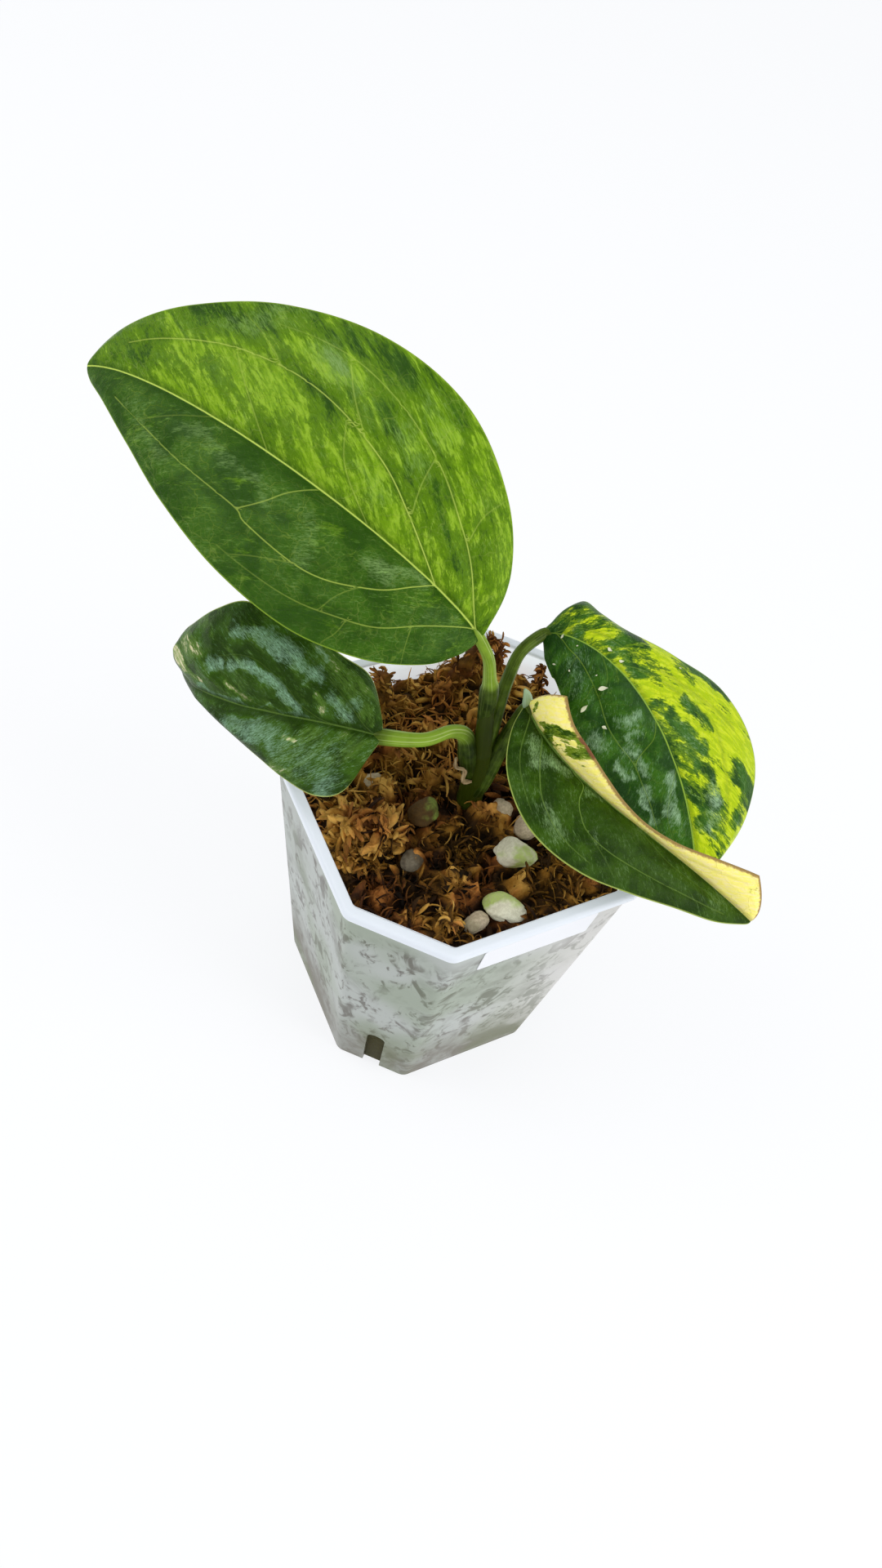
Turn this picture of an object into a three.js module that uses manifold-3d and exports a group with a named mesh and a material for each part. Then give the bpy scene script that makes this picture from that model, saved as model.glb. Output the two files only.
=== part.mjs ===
// A young variegated monstera karstenianum in an eight-sided frosted nursery pot,
// standing in orange sphagnum moss with pumice gravel. Millimetres, +Z up.
// The origin is the centre of the pot's underside, and the pot's long sides lie along X and Y.
import * as THREE from "three";
import { mergeVertices } from "three/addons/utils/BufferGeometryUtils.js";
import Module from "manifold-3d";

const wasm = await Module();
wasm.setup();

// Driving dimensions
const GAP = 0.3; // clearance between pieces that touch
const POT = {
  height: 98,
  rim: 80, // across the flats at the rim
  rimChamfer: 17.5, // length that each cut corner takes off a side
  base: 64,
  baseChamfer: 14,
  lip: 0.9, // how far the rim stands out from the wall
  skirt: 2.6, // height of the rim's outer face
  band: 2.6, // width of the rim's flat top
  wall: 1.2,
  floor: 1.6,
  corner: 3, // radius of the rounded corners
  foot: 1.2, // bevel round the foot
};
const SLOT = { width: 5, height: 25, inward: 8, outward: 6 }; // drain slots at the foot of the cut corners
const LABEL = { length: 28, height: 10.8, thickness: 0.6, top: 92.6, along: 0.4 };
const CUSHION = { level: 88.5, cells: 24 }; // the moss that fills the pot
// least: half width of the blade's blunt ends. fade: half width under which it lies flatter.
const BLADE = { thickness: 0.8, rows: 22, columns: 5, least: 0.45, fade: 8, sweep: 0.28 };
const VEIN = { base: 1, tip: 0.35, sides: 7, sunk: 0.55, stations: [0.14, 0.32, 0.5, 0.68, 0.85] }; // midrib

// The leaves. A blade is described as it lies along its midrib, a cubic curve from base to tip.
// face: which way the upper side looks at base and tip.
// right, left: half widths at even turns of the angle whose cosine runs from base to tip.
// rise: angle of each half from the midrib at base, middle and tip. bend: how far it curls down.
// swell: height of the bulges between the side veins, and how many there are.
// petiole: centre points from the stem to the blade, radius at its foot and at the blade.
const LEAVES = {
  leaf_large: {
    midrib: [[-4.4, 4.7, 142.7], [-14, 8.7, 161.4], [-45.6, 74.2, 162.8], [-58, 87, 153.7]],
    face: [[-0.32, -0.45, 0.83], [-0.35, -0.46, 0.82]],
    right: [0, 3, 12.5, 22, 29.5, 30.5, 26, 17.5, 9.5, 3, 0],
    left: [0, 7, 13.5, 20.5, 25, 24.5, 19.5, 12.5, 6.5, 3, 0],
    rise: { right: [15, 15.5, 6], left: [21, 10.5, 5.5] },
    bend: { right: [25, 22, 15], left: [25, 22, 15] },
    swell: { height: 0.35, count: 4 },
    wave: { height: 0.5, count: 2.5 },
    petiole: [[-0.4, 1.2, 119], [-0.2, 2.2, 126], [-0.4, 3.6, 131], [-1.4, 4.4, 136], [-4.4, 4.7, 142.7]],
    girth: [1.9, 1.8, 1.4, 1.25, 1.1],
    colour: 0x4f8a1f,
  },
  leaf_left: {
    midrib: [[-22.5, 5, 117], [-38, 13.5, 121], [-55, 20, 120], [-54.5, 39.5, 109]],
    face: [[-0.3, -0.4, 0.86], [-0.44, -0.75, 0.49]],
    right: [0, 4.8, 11.7, 14.4, 17.5, 20, 21.5, 18.3, 13.6, 9.2, 0],
    left: [0, 5.4, 14.3, 15.6, 13.5, 10, 6.5, 4.2, 2.7, 1.6, 0],
    rise: { right: [6, 12, 17], left: [6, 6, 2] },
    bend: { right: [15, 30, 35], left: [15, 30, 35] },
    swell: { height: 1.0, count: 5 },
    wave: { height: 0.3, count: 2 },
    petiole: [
      [-1.9, -1.2, 102], [-2.9, -0.6, 109], [-4, 1, 114.5],
      [-8, 1.3, 117.4], [-15, 0.6, 118.4], [-22.5, 5, 117],
    ],
    girth: [2, 1.7, 1.4, 1.4, 1.4, 1.3],
    colour: 0x2c5a22,
  },
  leaf_right: {
    midrib: [[13.9, 8.6, 133.8], [21.2, -1.8, 144.6], [39.1, -18, 123.9], [38.5, -39.8, 95.2]],
    face: [[-0.18, -0.22, 0.96], [-0.16, -0.46, 0.87]],
    right: [0, 8.8, 10, 11.4, 14, 16.3, 16.8, 15, 10.5, 4.8, 0],
    left: [0, 3.9, 10.9, 9.9, 10.7, 15.2, 21.4, 21.2, 15, 6.5, 0],
    rise: { right: [-38, -18, -10], left: [-6, -6, 5] },
    bend: { right: [15, 25, 20], left: [25, 30, 20] },
    swell: { height: 0.9, count: 5 },
    wave: { height: 0.4, count: 3 },
    petiole: [
      [1, -0.9, 100], [2.2, 0.4, 107], [3.1, 1.9, 113.5], [4.2, 3.3, 120],
      [5.6, 4.8, 126], [8.4, 6.8, 131.4], [13.9, 8.6, 133.8],
    ],
    girth: [1.8, 2, 1.8, 1.5, 1.4, 1.35, 1.3],
    colour: 0x7f9a1e,
  },
  leaf_folded: {
    midrib: [[7.8, -1, 123], [3.7, -24.5, 126.9], [22.6, -33.6, 116.8], [40.5, -55.5, 101.7]],
    face: [[-0.27, -0.42, 0.87], [-0.24, -0.45, 0.86]],
    right: [0, 2.1, 6.8, 12.8, 16.9, 16.8, 13.6, 9.8, 6.5, 2.6, 0],
    left: [0, 4.6, 9.6, 15, 18, 18, 17, 15, 9.6, 4.6, 0],
    trim: [12, 11, 8.5, 7.5, 5.4, 3.2, 2.2, 3.3, 6.5, 9.7, 12], // what is left of the cut half
    rise: { right: [29.5, 35, 30], left: [50.5, 61.5, 43] },
    bend: { right: [25, 30, 20], left: [5, 5, 5] },
    swell: { height: 0.5, count: 4 },
    wave: { height: 0, count: 1 },
    petiole: [
      [-0.4, -2, 92.5], [0.4, -3, 97], [2, -2.4, 102],
      [4.3, -1.4, 109], [6.4, -0.6, 116], [7.8, -1, 123],
    ],
    girth: [1.2, 2.2, 2.3, 1.9, 1.5, 1.3],
    colour: 0x356425,
  },
};

const STEM = {
  points: [
    [0.3, -1.4, 66], [0, -1.5, 84], [-0.1, -1.4, 98],
    [-0.3, -0.9, 110], [-0.3, 0.6, 118], [-0.3, 1.6, 123],
  ],
  girth: [1.8, 2.4, 2.5, 2.1, 1.8, 1.3],
};
const SCRAP = {
  points: [[-2.6, -3.2, 102], [-4.2, -3.2, 104.4], [-5.3, -2.4, 106.4], [-6, -1.6, 108.2], [-6.8, -1, 110]],
  girth: [0.5, 0.8, 0.7, 0.8, 0.45],
};
const ROOT = { count: 5, length: 24, drop: 30, start: 80, foot: 0.9, end: 0.5 };

const PEBBLE = { least: 0.86, spread: 0.28 }; // how far a pebble's corners are drawn in and out

// Pumice and gravel on the moss: place, size across, and how far each is turned and tipped
const STONES = [
  { x: 3.2, y: -18.4, z: 91.5, size: [10, 7.4, 6.4], turn: -28, colour: 0xd9dcbc },
  { x: -4.5, y: -30, z: 91, size: [10.6, 7.4, 6], turn: -20, colour: 0xcfd6a4 },
  { x: -11.8, y: -1.8, z: 91.5, size: [7.4, 7, 7], turn: 40, colour: 0x75683a },
  { x: -19, y: -12, z: 90.5, size: [5.6, 4.8, 5], turn: 15, colour: 0x6c6c60 },
  { x: 6.6, y: -6.4, z: 90, size: [6, 5, 5], turn: 60, colour: 0xb9a384 },
  { x: 9.5, y: -12.5, z: 90.5, size: [7.2, 6, 5.5], turn: 10, colour: 0xc8c2ae },
  { x: -19, y: 11, z: 89.5, size: [5, 4.4, 4.4], turn: 75, colour: 0xb8b6a6 },
  { x: -11.5, y: -30.5, z: 89.5, size: [6, 5, 4.5], turn: 5, colour: 0xbfa98a },
  { x: 27, y: -8, z: 89.5, size: [7, 5.6, 5], turn: 35, colour: 0xc9c3b0 },
  { x: 14, y: 17, z: 89.5, size: [6, 5, 4.6], turn: -50, colour: 0xa8a28e },
];

// Heaps in the moss: centre, radius and height
const HEAPS = [
  { x: -27, y: -2, radius: 8, height: 5.5 },
  { x: 16, y: 29, radius: 8, height: 4 },
  { x: -12, y: 27, radius: 8, height: 2.5 },
  { x: 0, y: 0, radius: 9, height: 4 },
  { x: -19, y: -26, radius: 5, height: 2.5 },
];
const SHOOTS = { count: 48, length: [4.5, 8], girth: [1, 0.75, 0.9, 0.45], sunk: 2.2, clear: 4, seed: 20 };

// Larger twists of moss that stand out of the cushion: centre points and radii
const TWISTS = [
  { points: [[9, 30, 86], [12, 31, 94], [16, 32, 99], [20.5, 32.5, 103]], girth: [3.2, 2.5, 1.8, 1.6] },
  { points: [[19, 29.5, 86], [22, 30.5, 93], [22.4, 32, 98.5], [20, 32.5, 103]], girth: [2.2, 1.3, 1.1, 1] },
  { points: [[-11, 30, 86], [-9.5, 31, 93], [-8, 32.5, 99.5]], girth: [3, 2.6, 1.7] },
  { points: [[30, 21, 86], [31, 23, 91], [30.8, 23.8, 97]], girth: [1.6, 0.8, 0.6] },
  { points: [[-17, -27, 85], [-17.8, -28.6, 93], [-19.2, -31.5, 96.5]], girth: [2.2, 1.2, 0.7] },
  { points: [[-31, -5, 86], [-28, -3, 94.5], [-24, -4.5, 92], [-22.5, -6, 86]], girth: [2.4, 2, 1.7, 1.6] },
];

// Numbers, curves and seeded draws
const vector = ([x, y, z]) => new THREE.Vector3(x, y, z);
const radians = THREE.MathUtils.degToRad;

function draws(seed) {
  let state = seed;
  return () => {
    state = (state + 0x6d2b79f5) | 0;
    let t = Math.imul(state ^ (state >>> 15), 1 | state);
    t = (t + Math.imul(t ^ (t >>> 7), 61 | t)) ^ t;
    return ((t ^ (t >>> 14)) >>> 0) / 4294967296;
  };
}

// A smooth curve through evenly spaced values, for a share x of the way from the first to the last
function through(values, x) {
  const last = values.length - 1;
  const f = THREE.MathUtils.clamp(x, 0, 1) * last;
  const i = Math.min(Math.floor(f), last - 1);
  const u = f - i;
  const b = values[i];
  const c = values[i + 1];
  const a = i > 0 ? values[i - 1] : 2 * b - c;
  const d = i + 2 <= last ? values[i + 2] : 2 * c - b;
  return b + 0.5 * u * (c - a + u * (2 * a - 5 * b + 4 * c - d + u * (3 * (b - c) + d - a)));
}

// Solids: a closed mesh becomes a solid that can be joined and cut, and back
function solid(geometry) {
  const plain = geometry.clone();
  plain.deleteAttribute("normal");
  plain.deleteAttribute("uv");
  const merged = mergeVertices(plain, 1e-4);
  return new wasm.Manifold(
    new wasm.Mesh({
      numProp: 3,
      vertProperties: new Float32Array(merged.attributes.position.array),
      triVerts: new Uint32Array(merged.index.array),
    }),
  );
}

function meshOf(name, body, colour, roughness, extras = {}) {
  const { vertProperties, triVerts } = body.getMesh();
  const geometry = new THREE.BufferGeometry();
  geometry.setAttribute("position", new THREE.BufferAttribute(vertProperties, 3));
  geometry.setIndex(new THREE.BufferAttribute(triVerts, 1));
  geometry.computeVertexNormals();
  const material = new THREE.MeshStandardMaterial({ color: colour, roughness, metalness: 0, ...extras });
  const mesh = new THREE.Mesh(geometry, material);
  mesh.name = name;
  return mesh;
}

function geometryFrom(points, faces) {
  const geometry = new THREE.BufferGeometry().setFromPoints(points);
  geometry.setIndex(faces);
  return geometry;
}

// A closed loft: rings of equally many points from bottom to top, with a fan over each end
function loft(rings) {
  const count = rings[0].length;
  const points = rings.flat();
  const faces = [];
  for (let ring = 0; ring + 1 < rings.length; ring++)
    for (let k = 0; k < count; k++) {
      const a = ring * count + k;
      const b = ring * count + ((k + 1) % count);
      faces.push(a, b, b + count, a, b + count, a + count);
    }
  for (const [ring, flip] of [[0, true], [rings.length - 1, false]]) {
    const middle = new THREE.Vector3();
    rings[ring].forEach((point) => middle.addScaledVector(point, 1 / count));
    const centre = points.push(middle) - 1;
    for (let k = 0; k < count; k++) {
      const a = ring * count + k;
      const b = ring * count + ((k + 1) % count);
      faces.push(centre, flip ? b : a, flip ? a : b);
    }
  }
  return geometryFrom(points, faces);
}

// A tapering round stalk through the given points, with its radius given at each of them.
// Its rings stand at even distances along it.
function stalk(places, girth, { sides = 8, steps = 4, grow = 0 } = {}) {
  const curve = new THREE.CatmullRomCurve3(places.map(vector), false, "centripetal");
  const count = steps * (places.length - 1);
  const frames = curve.computeFrenetFrames(count);
  const rings = [];
  for (let i = 0; i <= count; i++) {
    const centre = curve.getPointAt(i / count);
    const radius = through(girth, curve.getUtoTmapping(i / count)) + grow;
    const ring = [];
    for (let k = 0; k < sides; k++) {
      const angle = (2 * Math.PI * k) / sides;
      ring.push(
        centre
          .clone()
          .addScaledVector(frames.normals[i], radius * Math.cos(angle))
          .addScaledVector(frames.binormals[i], radius * Math.sin(angle)),
      );
    }
    rings.push(ring);
  }
  return solid(loft(rings));
}

// An eight-sided outline with rounded corners at one height
function octagon(size, chamfer, height, radius = POT.corner) {
  const half = size / 2;
  const near = half - chamfer;
  const corners = [
    [half, -near], [half, near], [near, half], [-near, half],
    [-half, near], [-half, -near], [-near, -half], [near, -half],
  ];
  const reach = radius * Math.tan(Math.PI / 8);
  const ring = [];
  corners.forEach(([x, y], i) => {
    const corner = new THREE.Vector2(x, y);
    const before = new THREE.Vector2(...corners[(i + 7) % 8]).sub(corner).setLength(reach).add(corner);
    const after = new THREE.Vector2(...corners[(i + 1) % 8]).sub(corner).setLength(reach).add(corner);
    const arc = new THREE.QuadraticBezierCurve(before, corner, after);
    for (const share of [0, 0.5, 1]) {
      const point = arc.getPoint(share);
      ring.push(new THREE.Vector3(point.x, point.y, height));
    }
  });
  return ring;
}

// The pot's inner or outer face at a height, set in by a distance on every side
function potSection(height, inset) {
  const share = height / POT.height;
  const size = THREE.MathUtils.lerp(POT.base, POT.rim - 2 * POT.lip, share);
  const chamfer = THREE.MathUtils.lerp(POT.baseChamfer, POT.rimChamfer, share);
  return octagon(size - 2 * inset, chamfer - inset * (2 - Math.SQRT2), height);
}

function potRim(height, inset) {
  return octagon(POT.rim - 2 * inset, POT.rimChamfer - inset * (2 - Math.SQRT2), height);
}

function potHollow(inset, bottom, top) {
  const share = (height) => THREE.MathUtils.lerp(POT.wall, POT.band - POT.lip, height / POT.height);
  return solid(loft([bottom, top].map((height) => potSection(height, share(height) + inset))));
}

function drainSlots() {
  const shape = new THREE.Shape();
  shape.moveTo(-SLOT.width / 2, -1);
  shape.lineTo(SLOT.width / 2, -1);
  shape.lineTo(SLOT.width / 2, SLOT.height - SLOT.width / 2);
  shape.absarc(0, SLOT.height - SLOT.width / 2, SLOT.width / 2, 0, Math.PI, false);
  const reach = (POT.base - POT.baseChamfer) / Math.SQRT2;
  const slots = [];
  for (let k = 0; k < 4; k++) {
    const depth = SLOT.inward + SLOT.outward;
    const cutter = new THREE.ExtrudeGeometry(shape, { depth, bevelEnabled: false, curveSegments: 4 });
    cutter.rotateX(Math.PI / 2);
    cutter.translate(0, reach + SLOT.outward, 0);
    cutter.rotateZ(Math.PI / 4 + (k * Math.PI) / 2);
    slots.push(solid(cutter));
  }
  return slots;
}

function makePot() {
  const ledge = POT.height - POT.skirt;
  let body = solid(
    loft([
      potSection(0, POT.foot),
      potSection(POT.foot, 0),
      potSection(ledge, 0),
      potRim(ledge + 0.01, 0),
      potRim(POT.height - 0.6, 0),
      potRim(POT.height, 0.6),
    ]),
  );
  body = body.subtract(potHollow(0, POT.floor, POT.height + 2));
  for (const slot of drainSlots()) body = body.subtract(slot);
  return meshOf("pot", body, 0xd6ddd8, 0.35, { transparent: true, opacity: 0.75 });
}

// A blank paper label stuck under the rim, on the side that faces the viewer
function makeLabel() {
  const { length, height, thickness } = LABEL;
  const shape = new THREE.Shape();
  shape.moveTo(-length / 2, 0);
  shape.lineTo(length / 2, 0);
  shape.lineTo(length / 2, height);
  shape.lineTo(-length / 2, height);
  const geometry = new THREE.ExtrudeGeometry(shape, { depth: thickness, bevelEnabled: false });
  const lean = Math.atan((POT.rim / 2 - POT.lip - POT.base / 2) / POT.height);
  const bottom = LABEL.top - height;
  const wall = THREE.MathUtils.lerp(POT.base / 2, POT.rim / 2 - POT.lip, bottom / POT.height);
  geometry.rotateX(Math.PI / 2 + lean);
  geometry.translate(LABEL.along, -wall - GAP, bottom);
  return meshOf("label", solid(geometry), 0xf6f7fa, 0.7);
}

// A faceted pebble: a ball whose corners are drawn in and out by a seeded amount
function pebble({ x, y, z, size, turn }, seed, grow = 0) {
  const random = draws(seed);
  const facets = new THREE.IcosahedronGeometry(1, 1);
  const ball = mergeVertices(facets.deleteAttribute("normal").deleteAttribute("uv"));
  const place = ball.attributes.position;
  const point = new THREE.Vector3();
  for (let i = 0; i < place.count; i++) {
    point.fromBufferAttribute(place, i);
    point.multiplyScalar(PEBBLE.least + PEBBLE.spread * random());
    point.multiply(new THREE.Vector3(...size.map((across) => across / 2 + grow)));
    place.setXYZ(i, point.x, point.y, point.z);
  }
  ball.rotateZ(radians(turn));
  ball.translate(x, y, z);
  return solid(ball);
}

// Moss
function mossHeight(x, y) {
  let height = CUSHION.level;
  for (const heap of HEAPS) {
    const away = ((x - heap.x) ** 2 + (y - heap.y) ** 2) / heap.radius ** 2;
    height += heap.height * Math.exp(-away);
  }
  height += 1.3 * Math.sin(0.52 * x + 1.3 * Math.sin(0.37 * y)) * Math.cos(0.47 * y - 0.8 * Math.sin(0.41 * x));
  height += 0.7 * Math.sin(1.13 * x - 0.9 * y) * Math.cos(0.97 * y + 0.6 * x);
  return height;
}

function mossCushion() {
  const slab = new THREE.BoxGeometry(POT.rim, POT.rim, POT.height, CUSHION.cells, CUSHION.cells, 1);
  const place = slab.attributes.position;
  for (let i = 0; i < place.count; i++)
    place.setZ(i, place.getZ(i) > 0 ? mossHeight(place.getX(i), place.getY(i)) : -POT.height);
  return solid(slab).intersect(potHollow(GAP, POT.floor + GAP, POT.height));
}

// A short curled shoot of moss that stands in the cushion
function mossShoot(x, y, length, lean, random) {
  const ground = mossHeight(x, y);
  const spread = 0.35 + 0.5 * random();
  const places = [0, 0.35, 0.7, 1].map((t) => {
    const away = length * spread * t * t;
    const up = (length + SHOOTS.sunk) * t * (1 - 0.25 * t) - SHOOTS.sunk;
    return [x + away * Math.cos(lean), y + away * Math.sin(lean), ground + up];
  });
  return stalk(places, SHOOTS.girth, { sides: 4, steps: 1 });
}

function mossShoots() {
  const random = draws(SHOOTS.seed);
  const shoots = [];
  const inside = POT.rim / 2 - POT.band - SHOOTS.clear;
  while (shoots.length < SHOOTS.count) {
    const x = (2 * random() - 1) * inside;
    const y = (2 * random() - 1) * inside;
    const lean = 2 * Math.PI * random();
    const length = THREE.MathUtils.lerp(...SHOOTS.length, random());
    const inCorner = Math.abs(x) + Math.abs(y) > 2 * inside - POT.rimChamfer + SHOOTS.clear;
    const byStem = Math.hypot(x - STEM.points[1][0], y - STEM.points[1][1]) < 2 * SHOOTS.clear;
    const near = (stone) => Math.hypot(x - stone.x, y - stone.y) < stone.size[0] / 2 + SHOOTS.sunk;
    const byStone = STONES.some(near);
    if (!inCorner && !byStem && !byStone) shoots.push(mossShoot(x, y, length, lean, random));
  }
  return shoots;
}

function makeMoss(stones, plant) {
  let body = mossCushion();
  for (const shoot of mossShoots()) body = body.add(shoot);
  for (const { points, girth } of TWISTS) body = body.add(stalk(points, girth, { sides: 6, steps: 2 }));
  body = body.intersect(potHollow(GAP, POT.floor + GAP, POT.height + 20));
  for (const taken of [...stones, ...plant]) body = body.subtract(taken);
  return meshOf("moss", largest(body), 0x8a5524, 0.95);
}

// The biggest body of a solid, without loose scraps
function largest(body) {
  const pieces = body.decompose();
  return pieces.reduce((a, b) => (b.volume() > a.volume() ? b : a));
}

// Leaves
function bladeFrame(leaf, s) {
  const curve = new THREE.CubicBezierCurve3(...leaf.midrib.map(vector));
  const along = curve.getTangent(s);
  const face = vector(leaf.face[0]).lerp(vector(leaf.face[1]), s);
  face.addScaledVector(along, -face.dot(along)).normalize();
  return { centre: curve.getPoint(s), face, across: new THREE.Vector3().crossVectors(along, face) };
}

function halfWidth(leaf, side, s) {
  const turn = Math.acos(1 - 2 * s) / Math.PI;
  const grown = through(leaf[side > 0 ? "right" : "left"], turn);
  const left = side < 0 && leaf.trim ? Math.min(grown, through(leaf.trim, s)) : grown;
  return Math.max(left, BLADE.least);
}

// A point of the blade: s runs from base to tip, t from the midrib to the margin of one half.
// Each half is an arc that starts at its rise and turns down by its bend. On top of that, the
// margin waves, and the blade swells between the side veins.
function bladePoint(leaf, side, s, t) {
  const { centre, face, across } = bladeFrame(leaf, s);
  const half = side > 0 ? "right" : "left";
  const width = halfWidth(leaf, side, s);
  const rise = radians(through(leaf.rise[half], s));
  const bend = radians(through(leaf.bend[half], s));
  const out = (width * (Math.sin(rise) - Math.sin(rise - bend * t))) / bend;
  let up = (width * (Math.cos(rise - bend * t) - Math.cos(rise))) / bend;
  const fade = Math.min(1, width / BLADE.fade);
  up += leaf.wave.height * t * t * Math.sin(2 * Math.PI * leaf.wave.count * s + side) * fade;
  up += swelling(leaf, s, t) * fade;
  return centre.addScaledVector(across, side * out).addScaledVector(face, up);
}

function swelling(leaf, s, t) {
  const phase = leaf.swell.count * (s - BLADE.sweep * t);
  return leaf.swell.height * Math.sin(Math.PI * phase) ** 2 * Math.sin(Math.PI * Math.min(1, t)) ** 1.2;
}

function bladeNormal(leaf, side, s, t) {
  const step = 1e-3;
  const at = (ds, dt) => bladePoint(leaf, side, THREE.MathUtils.clamp(s + ds, 1e-4, 1 - 1e-4), t + dt);
  const along = at(step, 0).sub(at(-step, 0));
  const out = at(0, step).sub(at(0, t > 0 ? -step : 0));
  return new THREE.Vector3().crossVectors(out, along).multiplyScalar(side).normalize();
}

// Half the blade's thickness at a point, as an offset. At the midrib the two halves meet in a mitre.
function bladeOffset(leaf, side, s, t) {
  const half = BLADE.thickness / 2;
  if (t > 0) return bladeNormal(leaf, side, s, t).multiplyScalar(half);
  const right = bladeNormal(leaf, 1, s, 0);
  const middle = right.clone().add(bladeNormal(leaf, -1, s, 0)).normalize();
  return middle.multiplyScalar(half / Math.max(0.5, middle.dot(right)));
}

function makeBlade(leaf) {
  const { rows, columns } = BLADE;
  const across = 2 * columns + 1;
  const top = [];
  const bottom = [];
  for (let i = 0; i <= rows; i++) {
    const s = (1 - Math.cos(Math.PI * THREE.MathUtils.lerp(0.02, 0.98, i / rows))) / 2;
    for (let j = -columns; j <= columns; j++) {
      const side = j < 0 ? -1 : 1;
      const t = Math.abs(j) / columns;
      const offset = bladeOffset(leaf, side, s, t);
      const point = bladePoint(leaf, side, s, t);
      top.push(point.clone().add(offset));
      bottom.push(point.sub(offset));
    }
  }
  const under = top.length;
  const faces = [];
  for (let i = 0; i < rows; i++)
    for (let j = 0; j + 1 < across; j++) {
      const a = i * across + j;
      const [b, c, d] = [a + 1, a + across, a + across + 1];
      faces.push(a, b, d, a, d, c, under + a, under + d, under + b, under + a, under + c, under + d);
    }
  const edge = [];
  for (let j = 0; j < across; j++) edge.push(j);
  for (let i = 1; i <= rows; i++) edge.push(i * across + across - 1);
  for (let j = across - 2; j >= 0; j--) edge.push(rows * across + j);
  for (let i = rows - 1; i > 0; i--) edge.push(i * across);
  edge.forEach((a, k) => {
    const b = edge[(k + 1) % edge.length];
    faces.push(a, under + b, b, a, under + a, under + b);
  });
  return solid(geometryFrom([...top, ...bottom], faces));
}

// The petiole runs on under the blade as its midrib, and thins towards the tip
function leafStalk(leaf, grow = 0) {
  const places = [...leaf.petiole];
  const girth = [...leaf.girth];
  for (const s of VEIN.stations) {
    const { centre, face } = bladeFrame(leaf, s);
    const radius = THREE.MathUtils.lerp(VEIN.base, VEIN.tip, s);
    places.push(centre.addScaledVector(face, -VEIN.sunk * radius).toArray());
    girth.push(radius);
  }
  return stalk(places, girth, { grow, sides: VEIN.sides, steps: 2 });
}

function makeStem(grow = 0) {
  let body = stalk(STEM.points, STEM.girth, { sides: 9, steps: 2, grow });
  for (let k = 0; k < ROOT.count; k++) {
    const angle = (2 * Math.PI * (k + 0.3)) / ROOT.count;
    const places = [0, 0.3, 0.65, 1].map((t) => [
      STEM.points[1][0] + Math.cos(angle) * ROOT.length * t,
      STEM.points[1][1] + Math.sin(angle) * ROOT.length * t,
      ROOT.start - 2 * k - ROOT.drop * t * t,
    ]);
    body = body.add(stalk(places, [ROOT.foot, ROOT.end], { sides: 5, steps: 1, grow }));
  }
  return body;
}

// A dried, curled scrap of leaf sheath that clings to the foot of the leaf on the left
function makeDrySheath() {
  return stalk(SCRAP.points, SCRAP.girth, { sides: 5, steps: 2 });
}

const group = new THREE.Group();
const stem = makeStem();
const stemSpace = makeStem(GAP);
const petioleSpaces = {};
for (const [name, leaf] of Object.entries(LEAVES)) petioleSpaces[name] = leafStalk(leaf, GAP);

// Each leaf clasps the stem, and a leaf that grew later clears the ones before it
const order = ["leaf_folded", "leaf_left", "leaf_right", "leaf_large"];
const taken = [stemSpace];
for (const name of order) {
  const leaf = LEAVES[name];
  let body = makeBlade(leaf).add(leafStalk(leaf));
  for (const other of taken) body = body.subtract(other);
  taken.push(petioleSpaces[name]);
  group.add(meshOf(name, largest(body), leaf.colour, 0.35));
}

let sheath = makeDrySheath();
for (const other of taken) sheath = sheath.subtract(other);
group.add(meshOf("dry_sheath", largest(sheath), 0xb99c6c, 0.8));
group.add(meshOf("stem", stem, 0x3f5a22, 0.5));

const stoneSpaces = [];
STONES.forEach((stone, k) => {
  group.add(meshOf(`stone_${k + 1}`, pebble(stone, k + 1), stone.colour, 0.85));
  stoneSpaces.push(pebble(stone, k + 1, GAP));
});

group.add(makeMoss(stoneSpaces, taken));
group.add(makePot());
group.add(makeLabel());

export default group;
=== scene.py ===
import bpy
import numpy as np
from mathutils import Matrix, Vector


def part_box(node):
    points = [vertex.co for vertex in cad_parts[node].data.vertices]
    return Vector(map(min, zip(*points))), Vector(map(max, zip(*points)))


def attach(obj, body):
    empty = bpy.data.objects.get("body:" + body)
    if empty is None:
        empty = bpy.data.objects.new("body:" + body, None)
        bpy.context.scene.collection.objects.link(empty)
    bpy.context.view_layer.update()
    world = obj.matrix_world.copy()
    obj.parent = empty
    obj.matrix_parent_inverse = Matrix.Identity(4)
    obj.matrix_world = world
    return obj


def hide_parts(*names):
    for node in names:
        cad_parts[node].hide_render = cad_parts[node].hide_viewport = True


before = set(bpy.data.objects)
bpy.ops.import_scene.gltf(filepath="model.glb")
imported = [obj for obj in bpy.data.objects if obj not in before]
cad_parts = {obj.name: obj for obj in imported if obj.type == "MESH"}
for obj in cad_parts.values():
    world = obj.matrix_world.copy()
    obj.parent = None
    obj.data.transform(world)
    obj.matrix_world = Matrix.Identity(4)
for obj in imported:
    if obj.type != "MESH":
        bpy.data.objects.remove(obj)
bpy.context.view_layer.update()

# Places and sizes are in millimetres until they go into a mesh
MM = 0.001
pot_low, pot_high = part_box("pot")
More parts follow.
